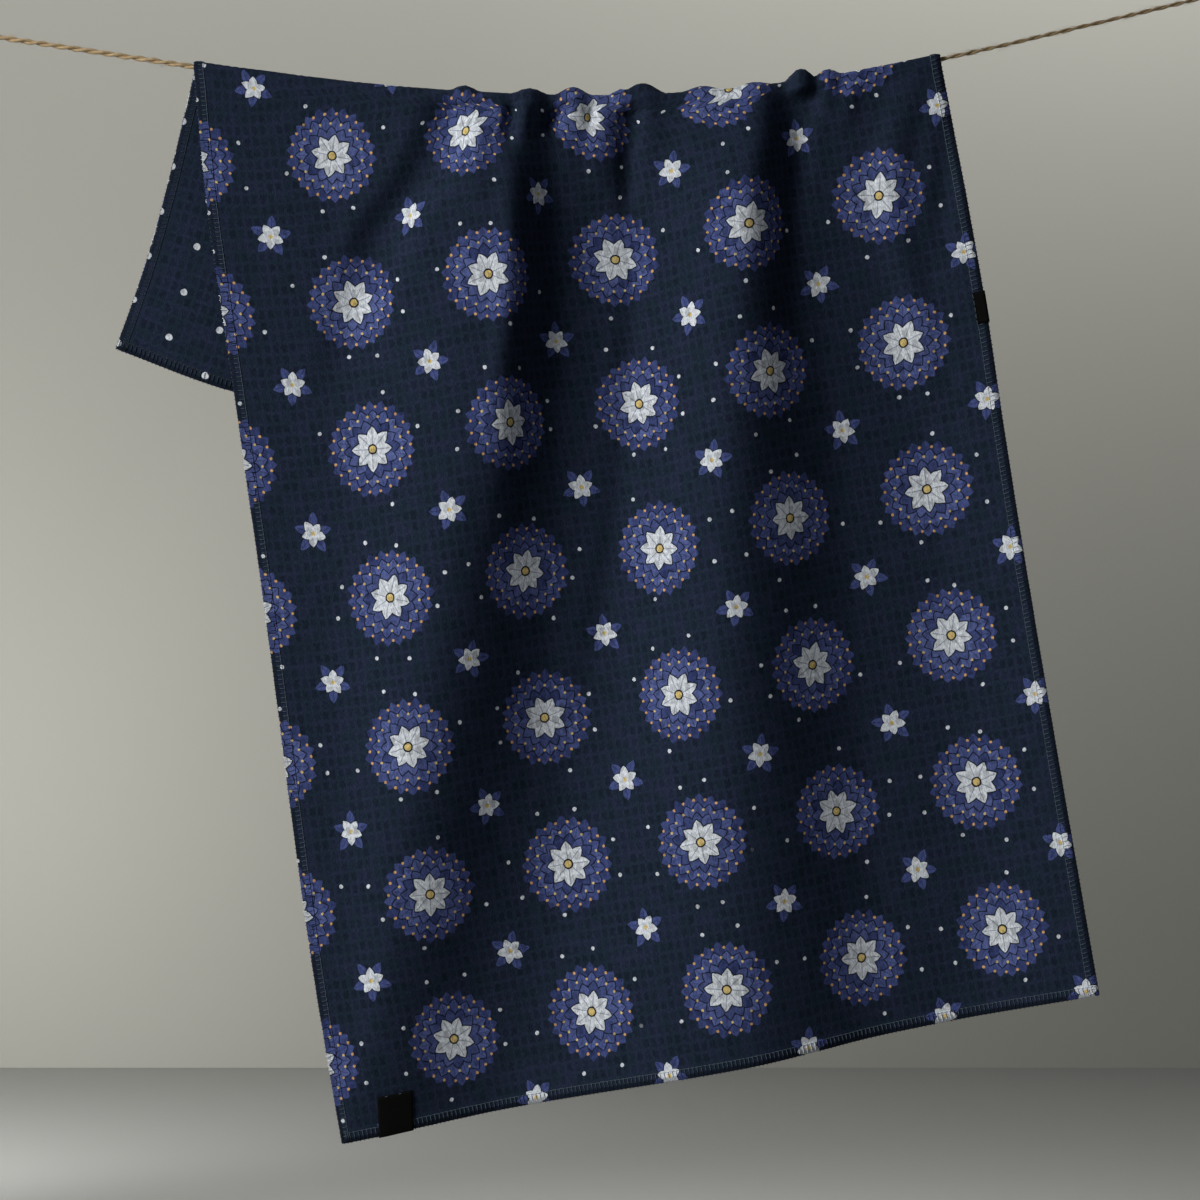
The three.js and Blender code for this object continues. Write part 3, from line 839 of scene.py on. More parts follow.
def waffle_cloth(name, printed, pit_shift):
    """Waffle microfibre: sunk cells between ridges, soft pile, and a print on top."""
    graph = Graph(name)
    u, v = graph.map_place("flat")
    place = graph.vector(u, v)

    # The ground drifts between two navies, and short threads of pile show in it
    patches = graph.noise(place, 0.09, 1.0)
    threads = graph.noise(graph.vector(u, v * 0.4), 1.3, 2.0, 0.7)
    tint = patches * 0.6 + graph.noise(graph.vector(u, v * 0.5, 3.0), 0.5, 1.0) * 0.4
    ground = graph.blend(tint.ramp(0.4, 0.6), NAVY_TEAL, NAVY_PURPLE)

    # The pile makes the print's lines wobble, and the cells' sides more so
    wobble_u = (graph.noise(place, 0.45, 0.0) - 0.5) * INK_WOBBLE
    wobble_v = (graph.noise(graph.vector(v, u, 5.0), 0.45, 0.0) - 0.5) * INK_WOBBLE
    colour = printed(graph, u + wobble_u, v + wobble_v, ground)
    column, x = lattice(u + wobble_u * CELL_WOBBLE, CELL_WIDTH, pit_shift * CELL_WIDTH)
    row, y = lattice(v + wobble_v * CELL_WOBBLE, CELL_LENGTH, pit_shift * CELL_LENGTH)
    ragged = (threads - 0.5) * 0.8
    across = (abs(x) / (CELL_WIDTH / 2) + ragged).ramp(0.95, 0.35)
    along = (abs(y) / (CELL_LENGTH / 2) + ragged).ramp(1.0, 0.45)

    # Painted shade: the pits are darkened, each its own amount. The outermost edge is dark too.
    edge = from_edge(graph, u, v)
    pit = across * along * edge.ramp(5, 8) * (graph.chance(column, row) * 0.8 + 0.45)
    shade = (1.08 - pit * PIT_SHADE) * (threads * 1.5 + 0.25) * (patches * 0.3 + 0.85)
    shade = shade * (edge.ramp(1.6, 3.0) * 0.4 + 0.6)
    normal = graph.bump(threads, 0.22)
    return graph.finish(graph.scaled(colour, shade), 0.95, normal, 0.02, (0.6, 0.7, 1.0), 0.05)


def thread_material(name, printed, brightness):
    """Overlock thread that took the print with the cloth: pale along the inside of the seam and
    on the very edge, and sunk in dark pile between."""
    graph = Graph(name)
    u, v = graph.map_place("flat")
    place = graph.node("ShaderNodeTexCoord").outputs["Object"]
    fibres = graph.noise(Term(graph, place), 2600.0, 2.0)
    edge = from_edge(graph, u, v)
    shows = graph.math("MAXIMUM", edge.ramp(1.9, 2.9), edge.ramp(0.2, -0.3) * 0.8)
    ground = graph.blend(shows, SEAM_DARK, graph.scaled(THREAD_BLUE, brightness))
    colour = graph.scaled(printed(graph, u, v, ground), fibres * 0.9 + 0.55)
    return graph.finish(colour, 0.8, graph.bump(fibres, 0.08), 0.05, specular=0.08)


RIB_PITCH = 0.55
CORD_PITCH = 0.8


def ribbon_material():
    """Black ribbon: fine ribs across it and faint cords along it."""
    graph = Graph("label_ribbon")
    u, v = graph.map_place("ribbon")
    ribs = (v * (TAU / RIB_PITCH)).sine()
    cords = (u * (TAU / CORD_PITCH)).sine()
    speckle = graph.noise(graph.vector(u, v), 1.6, 3.0)
    colour = graph.scaled(LABEL_BLACK, speckle * 0.8 + ribs * 0.08 + 0.6)
    height = ribs * 0.5 + cords * 0.2 + speckle
    return graph.finish(colour, 0.85, graph.bump(height, 0.05), specular=0.06)


# The line gets darker over this stretch, in metres along +X
DARKER_TWINE = {"from": 0.15, "to": 0.58, "by": 0.42}


def twine_material(name):
    """Jute: long pale and brown fibres that follow each strand, darker towards the right."""
    graph = Graph(name)
    around, along = graph.map_place("strand")
    fibres = graph.noise(graph.vector(around * 22.0, along * 0.35), 1.0, 4.0, 0.65)
    tone = graph.noise(graph.vector(around * 2.0, along * 0.06, 9.0), 1.0, 2.0)
    colour = graph.blend(fibres.ramp(0.3, 0.72), JUTE_SHADE, STRAW)
    colour = graph.blend(tone.ramp(0.45, 0.75) * 0.4, colour, JUTE_BROWN)
    place = graph.node("ShaderNodeTexCoord").outputs["Object"]
    parts = graph.node("ShaderNodeSeparateXYZ")
    graph.tree.links.new(place, parts.inputs["Vector"])
    to_right = Term(graph, parts.outputs["X"]).ramp(DARKER_TWINE["from"], DARKER_TWINE["to"])
    colour = graph.scaled(colour, 1.0 - to_right * DARKER_TWINE["by"])
    return graph.finish(colour, 0.85, graph.bump(fibres, 0.35), 0.25, (1, 0.9, 0.7), 0.2)


# The twine line, its eyes and its loose fibres

ROPE_SIDES = 12
STRAND_RADIUS = 0.83
STRAND_OFFSET = 0.72
UNEVEN_STRAND = 0.16
TWINE_STEP = 0.8
# The yarn is spun thinner towards the right, from the towel's left side on
THIN_PART = {"from": 131.2, "to": 546.0, "share": 0.78}


def laid_rope(path, ups, strand_radius, strand_offset, lay, seed):
    """Two strands laid round each other along a path, as vertices, faces and strand maps."""
    tangents = unit(np.gradient(path, axis=0))
    right = unit(np.cross(tangents, ups))
    above = np.cross(right, tangents)
    along = running_total(np.linalg.norm(np.diff(path, axis=0), axis=1))
    strands = []
    for strand in range(2):
        turn = (TAU * along / lay + math.pi * strand)[:, None]
        uneven = 1 + UNEVEN_STRAND * soft_noise(along, np.full_like(along, strand * 9), 7, seed)
        uneven = (uneven * np.broadcast_to(strand_offset, along.shape))[:, None]
        strands.append(path + uneven * (np.cos(turn) * above - np.sin(turn) * right))
    thick = 1 + UNEVEN_STRAND * np.array(
        [soft_noise(along, np.full_like(along, strand * 5), 4, seed + 1) for strand in range(2)]
    )
    vertices, faces = tubes(strands, ups, strand_radius * thick, ROPE_SIDES)
    around = np.tile(np.arange(ROPE_SIDES) / ROPE_SIDES, 2 * len(path))
    lengths = np.repeat(np.concatenate([along, along + 500]), ROPE_SIDES)
    twist = lengths / lay
    return vertices, faces, np.stack([around + twist, lengths], 1)


def wrap_seam(piece, values):
    """Map places for each corner, kept whole across the seam where a strand closes."""
    corners = corner_vertices(piece)
    places = values[corners].copy()
    for face in piece.data.polygons:
        span = slice(face.loop_start, face.loop_start + face.loop_total)
        part = places[span, 0]
        if face.loop_total == 4 and np.ptp(part) > 0.5:
            places[span, 0] = np.where(part < part.max() - 0.5, part + 1, part)
    return places


def add_rope(name, path, ups, strand_radius, strand_offset, lay, material, seed):
    vertices, faces, places = laid_rope(path, ups, strand_radius, strand_offset, lay, seed)
    piece = add_mesh(name, vertices, faces, [material])
    add_map(piece, "strand", wrap_seam(piece, places))
    return piece


def add_line(material):
    first, last = LINE_ROUTE[0][0], LINE_ROUTE[-1][0]
    x = np.linspace(first, last, round((last - first) / TWINE_STEP) + 1)
    path = np.stack([x, np.zeros_like(x), line_height(x)], 1)
    tangents = unit(np.gradient(path, axis=0))
    ups = np.stack([-tangents[:, 2], np.zeros_like(x), tangents[:, 0]], 1)
    thin = mix(1, THIN_PART["share"], smooth_step(x, THIN_PART["from"], THIN_PART["to"]))
    radius, offset = STRAND_RADIUS * thin, STRAND_OFFSET * thin
    return add_rope("twine", path, ups, radius, offset, TWINE_LAY_LENGTH, material, 21), path, ups


def through(points, steps):
    """A smooth open curve through points in order."""
    points = np.asarray(points, float)
    padded = np.concatenate([[2 * points[0] - points[1]], points, [2 * points[-1] - points[-2]]])
    t = np.linspace(0, len(points) - 1, steps)
    i = np.minimum(t.astype(int), len(points) - 2)
    s = (t - i)[:, None]
    a, b, c, d = (padded[i + k] for k in range(4))
    return 0.5 * (
        2 * b + (c - a) * s + (2 * a - 5 * b + 4 * c - d) * s**2 + (3 * b - a - 3 * c + d) * s**3
    )


def end_place(end, points):
    """Moves points made along +X from the knot's middle to an end of the line."""
    turn = math.radians(end["lean"])
    points = np.asarray(points, float) * [end["side"], 1, 1]
    x = points[:, 0] * math.cos(turn) - points[:, 2] * math.sin(turn)
    z = points[:, 0] * math.sin(turn) + points[:, 2] * math.cos(turn)
    return np.stack([x + end["x"], points[:, 1], z + end["z"]], 1)


def add_eye(side, end, material):
    """The loop at an end of the line."""
    half = KNOT_LENGTH / 2
    length, width, from_middle = EYE["length"], EYE["width"], EYE["from_middle"]
    route = [(-half, from_middle), (half, from_middle)]
    route += [(half + length * along, width * aside) for along, aside in EYE_OUTLINE]
    route += [(x, -z) for x, z in reversed(route[:-1])]
    loop = end_place(end, through([(x, 0, z) for x, z in route], 90))
    ups = np.broadcast_to([0.0, 1.0, 0.0], loop.shape)
    radius, offset = STRAND_RADIUS * EYE_STRANDS["radius"], STRAND_OFFSET * EYE_STRANDS["offset"]
    return add_rope(f"eye_{side}", loop, ups, radius, offset, EYE["lay"], material, 31)


def add_knot(side, end, material):
    """The wraps that close an eye, with their ends tucked in."""
    reach = KNOT_LENGTH / 2 - WRAPS["radius"]
    angle = np.linspace(0, TAU * WRAPS["turns"], 150)
    tucked = smooth_step(np.minimum(angle, angle[-1] - angle), 0, WRAPS["tuck_turning"])
    away = mix(WRAPS["tucked_radius"], KNOT_RADIUS - WRAPS["radius"], tucked)
    x = np.linspace(-reach, reach, len(angle))
    wraps = end_place(end, np.stack([x, away * np.cos(angle), away * np.sin(angle)], 1))
    axis = end_place(end, np.stack([x, 0 * x, 0 * x], 1))
    radius, offset = WRAPS["radius"] * 0.55, WRAPS["radius"] * 0.45
    ups = unit(wraps - axis)
    return add_rope(f"knot_{side}", wraps, ups, radius, offset, WRAPS["lay"], material, 41)


# Loose fibres of jute: how many, the points and sides of each, how thick they are at the root
# and the tip, how long they are, and how far they stand off and bend aside
FIBRES = {
    "count": 300,
    "points": 6,
    "sides": 3,
    "radius": (0.07, 0.03),
    "length": (2.5, 8.0),
    "lift": (0.4, 2.1),
    "bend": (-0.8, 0.8),
}


def add_fibres(path, ups, material):
    """Loose ends of jute that stand off the bare parts of the line."""
    random = np.random.default_rng(5)
    count, points = FIBRES["count"], FIBRES["points"]
    bare = (path[:, 0] < THIN_PART["from"] - 3) | (path[:, 0] > THIN_PART["to"] + 3)
    at = random.choice(np.flatnonzero(bare)[4:-4], count)
    tangents = unit(np.gradient(path, axis=0))[at]
    turn = random.uniform(0, TAU, count)[:, None]
    outward = np.cos(turn) * ups[at] + np.sin(turn) * np.cross(tangents, ups[at])
    forward = np.sign(random.uniform(-1, 1, count))[:, None] * tangents
    length, lift, bend = (
        random.uniform(*FIBRES[name], count)[:, None, None] for name in ("length", "lift", "bend")
    )
    s = np.linspace(0, 1, points)[None, :, None]
    aside = np.cross(tangents, outward)[:, None]
    paths = path[at][:, None] + outward[:, None] * (TWINE_RADIUS * 0.8 + lift * s**1.6)
    paths = paths + forward[:, None] * length * s
    paths = paths + aside * bend * s**2
    radius = np.broadcast_to(mix(*FIBRES["radius"], s[..., 0]), (count, points))
    vertices, faces = tubes(paths, aside, radius, FIBRES["sides"])
    piece = add_mesh("twine_fibres", vertices, faces, [material])
    places = np.stack([np.zeros(len(vertices)), vertices[:, 0]], 1)
    add_map(piece, "strand", places[corner_vertices(piece)])
    return piece


jute = twine_material("jute_twine")
twine, line_path, line_ups = add_line(jute)
end_pieces = []
for side, end in LINE_ENDS.items():
    eye = add_eye(side, end, jute)
    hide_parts(f"line_eye_{side}")
    end_pieces += [eye, add_knot(side, end, jute)]
fibres = add_fibres(line_path, line_ups, jute)
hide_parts("twine_line")
line_length = float(np.linalg.norm(np.diff(line_path, axis=0), axis=1).sum()) * MM
for piece in (twine, fibres, *end_pieces):
    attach(piece, "root")


# The towel

# Rows are closer together from just below the line to behind it
FOLD_ZONE = {"below": 6.0, "above": 16.0, "step": 1.2}
# The waffle starts in from the edge, past the hem
HEM_BAND = {"flat_to": 5.0, "full_from": 9.0}
# The cloth thins towards its edge, and the rim between its two faces bulges a little
EDGE_THINNING = 0.2
RIM_BULGE = 0.3
# On the second map the front fills the left part, the reverse the right part, and the rim a
# strip between them
HALF_MAP = 0.49
RIM_STRIP = (0.492, 0.5, 0.508)


def waffle_relief(u, v, shift):
    """0 on the ridges and 1 at the bottom of each cell, flat in the hems."""
    cell = np.sin(math.pi * (u / CELL_WIDTH - shift)) ** 2
    cell = cell * np.sin(math.pi * (v / CELL_LENGTH - shift)) ** 2
    return cell * smooth_step(edge_distance(u, v), HEM_BAND["flat_to"], HEM_BAND["full_from"])


def column_rows(v_at_line):
    """Places up one column: even half cells, and closer ones over the line."""
    start, end = v_at_line - FOLD_ZONE["below"], v_at_line + FOLD_ZONE["above"]
    even = np.arange(2 * CELLS_ALONG + 1) * CELL_LENGTH / 2
    margin = 0.5 * FOLD_ZONE["step"]
    even = even[(even < start - margin) | (even > end + margin)]
    fine = np.arange(start, end + margin, FOLD_ZONE["step"])
    return np.sort(np.concatenate([even, fine]))


def strip(left, right, left_v, right_v, column):
    """Triangles between two columns. Where both have the same rows, each square is cut through
    the bottom of its cell, so that a cell is a square pit."""
    faces, i, j = [], 0, 0
    while i < len(left) - 1 or j < len(right) - 1:
        more_left, more_right = i < len(left) - 1, j < len(right) - 1
        if more_left and more_right and abs(left_v[i + 1] - right_v[j + 1]) < 1e-6:
            a, b, c, d = left[i], right[j], right[j + 1], left[i + 1]
            row = round(left_v[i] / (CELL_LENGTH / 2))
            if (row + column) % 2 == 0:
                faces += [(a, b, c), (a, c, d)]
            else:
                faces += [(a, b, d), (b, c, d)]
            i, j = i + 1, j + 1
        elif not more_right or (more_left and left_v[i + 1] < right_v[j + 1]):
            faces.append((left[i], right[j], left[i + 1]))
            i += 1
        else:
            faces.append((left[i], right[j], right[j + 1]))
            j += 1
    return faces


def add_towel(materials):
    """The cloth as one closed mesh: its outer face, its inner face and the rim between them."""
    columns_u = np.linspace(0, CLOTH_WIDTH, COLUMNS + 1)
    columns_v = [column_rows(at_line) for at_line in cloth.v_at_line]
    u = np.concatenate([np.full(len(v), columns_u[i]) for i, v in enumerate(columns_v)])
    v = np.concatenate(columns_v)
    half = HALF_CLOTH - EDGE_THINNING * (1 - smooth_step(edge_distance(u, v), 1, 6))
    outer = cloth.place(u, v, half - PIT_DEPTH * waffle_relief(u, v, 0))
    inner = cloth.place(u, v, -half + PIT_DEPTH * waffle_relief(u, v, 0.5))
    count = len(u)
    starts = running_total([len(rows) for rows in columns_v])
    ids = [list(range(starts[i], starts[i + 1])) for i in range(COLUMNS + 1)]
    outer_faces = []
    for i in range(COLUMNS):
        outer_faces += strip(ids[i], ids[i + 1], columns_v[i], columns_v[i + 1], i)
    inner_faces = [(count + a, count + c, count + b) for a, b, c in outer_faces]

    rim = [column[0] for column in ids] + ids[-1][1:]
    rim += [column[-1] for column in reversed(ids[:-1])] + ids[0][-2:0:-1]
    rim_u = u[rim] + RIM_BULGE * ((u[rim] >= CLOTH_WIDTH) * 1.0 - (u[rim] <= 0))
    rim_v = v[rim] + RIM_BULGE * ((v[rim] >= CLOTH_LENGTH) * 1.0 - (v[rim] <= 0))
    rim_faces, rim_bake = [], []
    for k, (a, b) in enumerate(zip(rim, rim[1:] + rim[:1], strict=True)):
        m, n = 2 * count + k, 2 * count + (k + 1) % len(rim)
        rim_faces += [(a, m, n), (a, n, b), (m, a + count, b + count), (m, b + count, n)]
        (a0, a1), (m0, m1), (b0, b1) = (
            [(x, k / len(rim)), (x, (k + 1) / len(rim))] for x in RIM_STRIP
        )
        rim_bake += [a0, m0, m1, a0, m1, a1, m0, b0, b1, m0, b1, m1]

    vertices = np.concatenate([outer, inner, cloth.place(rim_u, rim_v)])
    piece = add_mesh("towel_sheet", vertices, outer_faces + inner_faces + rim_faces, materials)
    kinds = np.repeat([0, 1, 0], [len(outer_faces), len(inner_faces), len(rim_faces)])
    piece.data.polygons.foreach_set("material_index", kinds.astype(np.int32))
    flat = np.stack([u, v], 1)
    flat = np.concatenate([flat, flat, np.stack([rim_u, rim_v], 1)])
    add_map(piece, "flat", flat[corner_vertices(piece)]).active_render = True
    share = np.stack([u / CLOTH_WIDTH, v / CLOTH_LENGTH], 1)
    front_bake = share[np.ravel(outer_faces)] * [HALF_MAP, 1]
    reverse_bake = share[np.ravel(inner_faces) - count] * [HALF_MAP, 1] + [1 - HALF_MAP, 0]
    add_map(piece, "OFBake", np.concatenate([front_bake, reverse_bake, rim_bake]))
    return piece


towel = add_towel([
    waffle_cloth("printed_waffle", front_print, 0.0),
    waffle_cloth("dotted_waffle", reverse_print, 0.5),
])
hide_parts("towel")
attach(towel, "root")


# Overlock stitching round all four edges

STITCH_PITCH = 2.5
THREAD_RADIUS = 0.25
THREAD_SIDES = 4
SEAM_WIDTH = 5.3
# Half a loop of the thread, from the inside of the seam to the very edge: how far in, how far
# along, and how far out from the cloth's face
LOOP = {
    "in": [5.5, 5.1, 3.9, 2.7, 1.9, 0.6, -0.55],
    "along": [0, 0.05, 0.35, 0.7, 1.0, 1.2, 1.3],
    "out": [-0.35, 0.14, 0.27, 0.2, -0.02, -0.25, -HALF_CLOTH],
}
# One stitch of the line inside the seam: its points along it in pitches, and how far out
STITCH = {"along": [-0.55, -0.35, 0.35, 0.55], "out": [-0.3, 0.16, 0.16, -0.3]}


def edge_stations(pitch):
    """Places round the cloth's edge: u, v, and the inward direction on the flat cloth."""
    sides = [
        ((0, 0), (1, 0), (0, 1), CLOTH_WIDTH),
        ((CLOTH_WIDTH, 0), (0, 1), (-1, 0), CLOTH_LENGTH),
        ((CLOTH_WIDTH, CLOTH_LENGTH), (-1, 0), (0, -1), CLOTH_WIDTH),
        ((0, CLOTH_LENGTH), (0, -1), (1, 0), CLOTH_LENGTH),
    ]
    starts, runs, inwards = [], [], []
    for corner, run, inward, length in sides:
        count = round(length / pitch)
        at = (np.arange(count) + 0.5) * length / count
        starts.append(np.array(corner) + at[:, None] * np.array(run))
        runs.append(np.tile(run, (count, 1)))
        inwards.append(np.tile(inward, (count, 1)))
    return tuple(np.concatenate(part).astype(float) for part in (starts, runs, inwards))


def add_threads(name, groups, thickness, materials):
    """Threads over flat places on the cloth. Each group has the places of its threads, how far
    out each point of a thread stands, and a way along the flat cloth that squares them up."""
    vertices, faces, flat, kinds = [], [], [], []
    first = 0
    for places, out, way in groups:
        starts = places[:, 0]
        ahead = starts + way
        ups = unit(cloth.place(ahead[:, 0], ahead[:, 1]) - cloth.place(starts[:, 0], starts[:, 1]))
        out = np.broadcast_to(out, places.shape[:2])
        paths = cloth.place(places[..., 0], places[..., 1], out)
        part_vertices, part_faces = tubes(paths, ups[:, None], thickness, THREAD_SIDES)
        vertices.append(part_vertices)
        faces += [[index + first for index in face] for face in part_faces]
        flat.append(np.repeat(places.reshape(-1, 2), THREAD_SIDES, axis=0))
        behind = np.repeat((out < 0).ravel(), THREAD_SIDES)
        kinds += [int(behind[list(face)].all()) for face in part_faces]
        first += len(part_vertices)
    piece = add_mesh(name, np.concatenate(vertices), faces, materials)
    piece.data.polygons.foreach_set("material_index", np.array(kinds, np.int32))
    add_map(piece, "flat", np.concatenate(flat)[corner_vertices(piece)])
    return piece


def add_overlock(materials):
    """A thread looped over the edge at each stitch, and a line of stitches along the inside of
    the seam on both faces."""
    starts, runs, inwards = edge_stations(STITCH_PITCH)
    random = np.random.default_rng(8)
    lean = random.uniform(0.1, 0.4, len(starts))[:, None]
    reach = random.uniform(0.94, 1.04, len(starts))[:, None]
    inset, shift, out = (np.array(LOOP[name]) for name in ("in", "along", "out"))
    out = out + HALF_CLOTH
    inset = np.concatenate([inset, inset[-2::-1]])
    shift = np.concatenate([shift, STITCH_PITCH - shift[-2::-1]])
    out = np.concatenate([out, -out[-2::-1]])
    loops = (
        starts[:, None]
        + inwards[:, None] * (inset * reach)[..., None]
        + runs[:, None] * (shift * lean)[..., None]
    )
    groups = [(loops, out, runs)]
    span = np.array(STITCH["along"])[:, None] * STITCH_PITCH
    line = starts[:, None] + inwards[:, None] * SEAM_WIDTH + runs[:, None] * span
    for face in (1, -1):
        groups.append((line, face * (HALF_CLOTH + np.array(STITCH["out"])), inwards))
    return add_threads("overlock_thread", groups, THREAD_RADIUS, materials)


overlock = add_overlock([
    thread_material("overlock_thread", front_print, 1.0),
    thread_material("overlock_reverse", reverse_print, 0.4),
])
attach(overlock, "root")


# Folded labels

RIBBON_THICKNESS = 0.5
RIBBON_OFF = HALF_CLOTH + 0.2
BEND_START = 0.4
BEND_STEPS = 8
FLAT_STEPS = 11
HEM_RIBBON = {"from": 22.6, "to": 43.0, "height": 21.8, "lean": 0.12, "columns": 17}
SIDE_RIBBON = {"from": 377.0, "to": 394.6, "depth": 6.2, "columns": 15}
# Stitches on the labels: where each is as a share of the label's width, and its points along it
LABEL_STITCHES = {
    "from_end": 0.5,
    "out": [-0.5, 0.12, 0.12, -0.5],
    "hem_shares": [0.27, 0.66],
    "hem_points": [-0.9, -0.5, 0.5, 0.9],
    "side_shares": [0.04, 0.25, 0.46, 0.67, 0.88],
    "side_points": [-1.5, -1.1, 1.1, 1.5],
}


def folded_ribbon(name, across, depth, place, material):
    """A ribbon folded over an edge. place(across, inset, out) gives its places in space."""
    half = RIBBON_OFF + RIBBON_THICKNESS / 2
    bend = np.linspace(0, math.pi, BEND_STEPS + 1)
    flat_part = np.linspace(depth, BEND_START, FLAT_STEPS + 1)[:-1]
    level = np.full(len(flat_part), half)
    inset = np.concatenate([flat_part, BEND_START - half * np.sin(bend), flat_part[::-1]])
    out = np.concatenate([level, half * np.cos(bend), -level])
    run = running_total(np.hypot(np.diff(inset), np.diff(out)))
    normal_in, normal_out = -np.gradient(out, run), np.gradient(inset, run)
    size = np.hypot(normal_in, normal_out)
    layers = []
    for push in (-RIBBON_THICKNESS / 2, RIBBON_THICKNESS / 2):
        layers.append(place(
            across[None, :],
            (inset + push * normal_in / size)[:, None],
            (out + push * normal_out / size)[:, None],
        ))
    rows, columns = layers[0].shape[:2]
    index = np.arange(rows * columns).reshape(rows, columns)
    under = index + rows * columns
    quads = []

    def add_quads(a, b, c, d):
        quads.extend(np.stack([a, b, c, d], -1).reshape(-1, 4).tolist())

    add_quads(index[:-1, :-1], index[1:, :-1], index[1:, 1:], index[:-1, 1:])
    add_quads(under[:-1, :-1], under[:-1, 1:], under[1:, 1:], under[1:, :-1])
    add_quads(index[:-1, 0], under[:-1, 0], under[1:, 0], index[1:, 0])
    add_quads(index[:-1, -1], index[1:, -1], under[1:, -1], under[:-1, -1])
    add_quads(index[0, :-1], index[0, 1:], under[0, 1:], under[0, :-1])
    add_quads(index[-1, :-1], under[-1, :-1], under[-1, 1:], index[-1, 1:])
    piece = add_mesh(name, np.concatenate([x.reshape(-1, 3) for x in layers]), quads, [material])
    places = np.stack(np.broadcast_arrays(across[None, :], run[:, None]), -1).reshape(-1, 2)
    add_map(piece, "ribbon", np.concatenate([places, places])[corner_vertices(piece)])
    return piece, float(run[-1])


def on_hem(across, inset, out):
    across, inset, out = np.broadcast_arrays(across, inset, out)
    return cloth.place(across + inset * HEM_RIBBON["lean"], inset, out)


def on_right_side(across, inset, out):
    across, inset, out = np.broadcast_arrays(across, inset, out)
    return cloth.place(CLOTH_WIDTH - inset, across, out)


def add_label_stitches(material):
    """Two short stitches at the top of one label, and a row up the inner end of the other."""
    sizes = LABEL_STITCHES
    out = RIBBON_OFF + RIBBON_THICKNESS + np.array(sizes["out"])
    shares = np.array(sizes["hem_shares"])[:, None]
    top = HEM_RIBBON["height"] - sizes["from_end"]
    u = mix(HEM_RIBBON["from"], HEM_RIBBON["to"], shares) + top * HEM_RIBBON["lean"]
    u = u + np.array(sizes["hem_points"])
    hem_stitches = np.stack([u, np.full_like(u, top)], -1)
    shares = np.array(sizes["side_shares"])[:, None]
    v = mix(SIDE_RIBBON["from"], SIDE_RIBBON["to"], shares) + np.array(sizes["side_points"])
    inner_end = CLOTH_WIDTH - SIDE_RIBBON["depth"] + sizes["from_end"]
    side_stitches = np.stack([np.full_like(v, inner_end), v], -1)
    groups = [(hem_stitches, out, (0, 1)), (side_stitches, out, (-1, 0))]
    return add_threads("label_stitches", groups, THREAD_RADIUS, [material])


ribbon = ribbon_material()
hem_across, side_across = (
    np.linspace(place["to"], place["from"], place["columns"]) for place in (HEM_RIBBON, SIDE_RIBBON)
)
hem_label, hem_run = folded_ribbon("hem_ribbon", hem_across, HEM_RIBBON["height"], on_hem, ribbon)
side_label, side_run = folded_ribbon(
    "side_ribbon", side_across, SIDE_RIBBON["depth"], on_right_side, ribbon
)
label_stitches = add_label_stitches(overlock.data.materials[0])
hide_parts("hem_label")
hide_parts("edge_label")
for piece in (hem_label, side_label):
    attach(piece, "root")
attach(label_stitches, "root")


# Floor, wall and lights

WALL_Y = 3300.0
FLOOR_Z = -1008.0
STAGE_HALF_WIDTH = 6000.0
WALL_TOP = 5000.0
FLOOR_GREY = (0.42, 0.42, 0.40)
WALL_GREY = (0.42, 0.415, 0.37)


def plain_surface(name, colour):
    graph = Graph(name)
    place = Term(graph, graph.node("ShaderNodeTexCoord").outputs["Object"])
    mottle = graph.noise(place, 1.3, 1.0)
    shaded = graph.scaled(colour, mottle * 0.06 + 0.97)
    return graph.finish(shaded, 0.9, specular=0.1)


def add_plane(name, material, first, last):
    """A plane across the stage, between two edges that are each given by y and z."""
    width = STAGE_HALF_WIDTH
    corners = [(-width, *first), (width, *first), (width, *last), (-width, *last)]
    return add_mesh(name, corners, [(0, 1, 2, 3)], [material], smooth=False)


def add_stage():
    near, foot, top = (-STAGE_HALF_WIDTH, FLOOR_Z), (WALL_Y, FLOOR_Z), (WALL_Y, WALL_TOP)
    add_plane("floor", plain_surface("pale_floor", FLOOR_GREY), near, foot)
    add_plane("wall", plain_surface("grey_wall", WALL_GREY), foot, top)


def add_area_light(name, place, target, size, power, spread):
    """A square light that points at its target."""
    data = bpy.data.lights.new(name, "AREA")
    data.shape = "SQUARE"
    data.size = size
    data.energy = power
    data.spread = math.radians(spread)
    light = bpy.data.objects.new(name, data)
    light.location = place
    direction = np.array(target) - np.array(place)
    light.rotation_euler = (
        math.acos(-direction[2] / float(np.linalg.norm(direction))),
        0,
        math.atan2(direction[1], direction[0]) - math.pi / 2,
    )
    light.visible_camera = False
    bpy.context.scene.collection.objects.link(light)


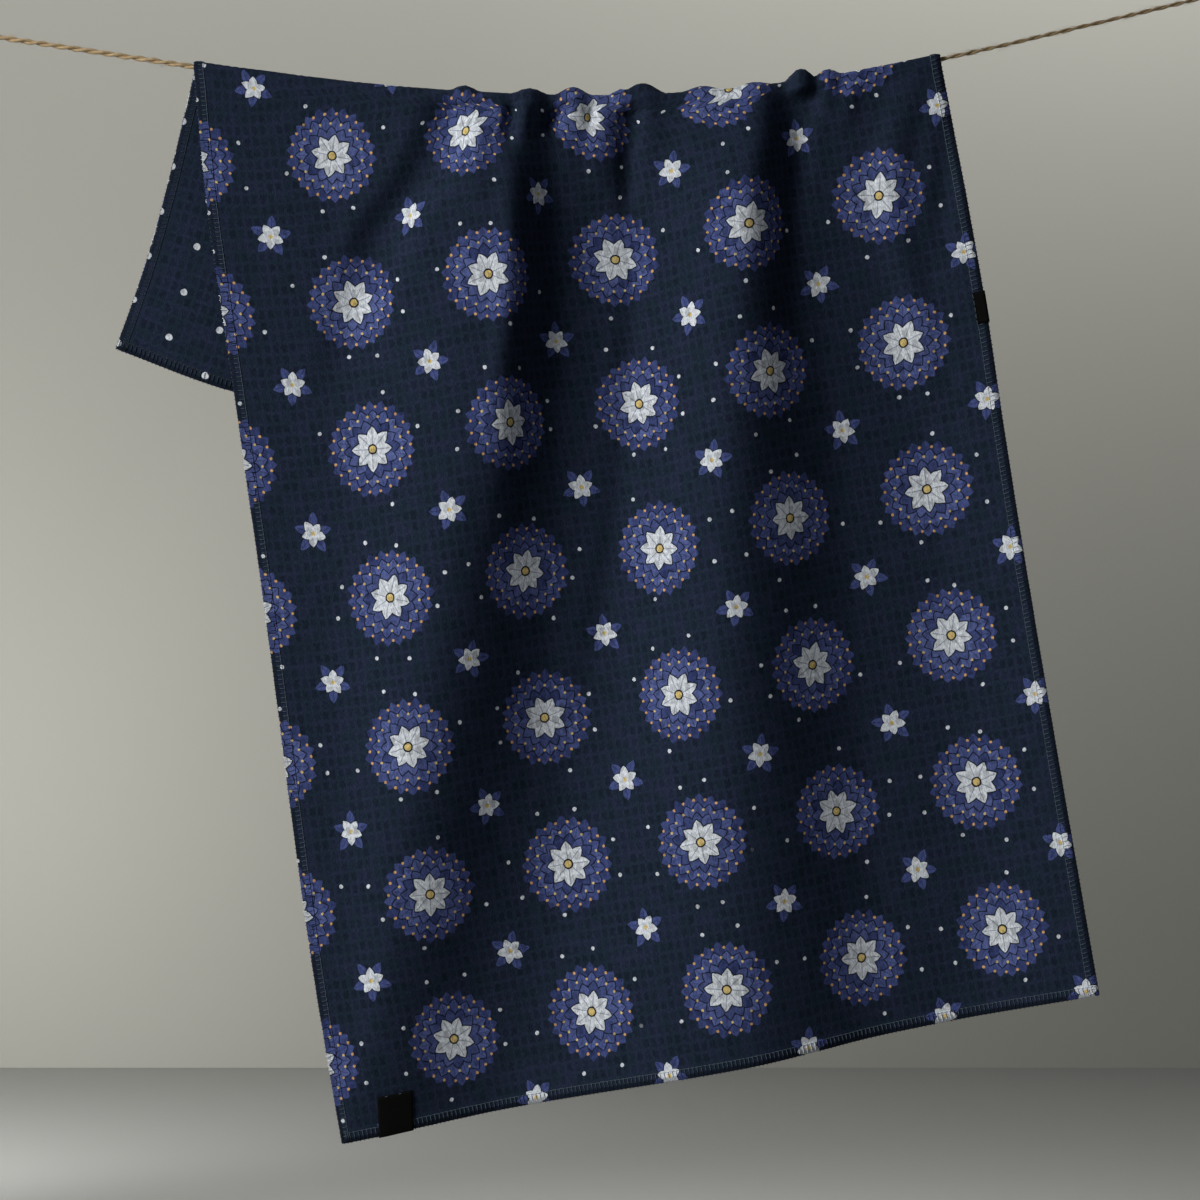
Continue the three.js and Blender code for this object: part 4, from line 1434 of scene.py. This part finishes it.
# Lights: place and target in metres, power in watts, and the spread of the beam in degrees
TOWEL_MIDDLE = (0.38, 0, -0.3)
LIGHTS = {
    "key": {
        "place": (-1.65, -1.37, 0.59), "target": TOWEL_MIDDLE,
        "size": 1.2, "power": 12, "spread": 75,
    },
    "back_fill": {
        "place": (-1.2, 2.0, 0.9), "target": TOWEL_MIDDLE,
        "size": 1.2, "power": 28, "spread": 180,
    },
    "floor_front": {
        "place": (0.5, 1.2, -0.2), "target": (0.5, 1.2, -1),
        "size": 0.5, "power": 7.5, "spread": 150,
    },
}
# Lamps that shine straight at the wall: how far across and up each is, and its power
WALL_LAMPS = {
    "low_left": (-0.6, -0.6, 5.8),
    "far_left": (-1.1, -0.3, 3.4),
    "high_left": (-0.9, 1.2, 5.4),
    "high_right": (1.5, 1.4, 14.6),
    "top": (0.4, 1.4, 9.0),
}
WALL_LAMP_Y = 1.9
WALL_LAMP_SIZE = 0.5
WALL_LAMP_SPREAD = 120
# Light from all round, and the plain grey that the camera sees past the stage
SOFT_GREY = {"tint": (0.9, 0.93, 1.0, 1), "strength": 0.11, "seen": (0.34, 0.34, 0.32, 1)}


def add_lights():
    for name, light in LIGHTS.items():
        add_area_light(name, **light)
    for name, (x, z, power) in WALL_LAMPS.items():
        place, target = (x, WALL_LAMP_Y, z), (x, WALL_Y * MM, z)
        add_area_light(f"wall_{name}", place, target, WALL_LAMP_SIZE, power, WALL_LAMP_SPREAD)


def add_world():
    """Soft grey light from all round, and a plain grey where the camera looks past the stage."""
    world = bpy.data.worlds.new("soft_grey")
    world.use_nodes = True
    nodes, links = world.node_tree.nodes, world.node_tree.links
    nodes["Background"].inputs["Color"].default_value = SOFT_GREY["tint"]
    nodes["Background"].inputs["Strength"].default_value = SOFT_GREY["strength"]
    seen = nodes.new("ShaderNodeBackground")
    seen.inputs["Color"].default_value = SOFT_GREY["seen"]
    rays = nodes.new("ShaderNodeLightPath")
    choice = nodes.new("ShaderNodeMixShader")
    links.new(rays.outputs["Is Camera Ray"], choice.inputs[0])
    links.new(nodes["Background"].outputs[0], choice.inputs[1])
    links.new(seen.outputs[0], choice.inputs[2])
    links.new(choice.outputs[0], nodes["World Output"].inputs["Surface"])
    bpy.context.scene.world = world
    bpy.context.scene.view_settings.view_transform = "Standard"


add_stage()
add_lights()
add_world()
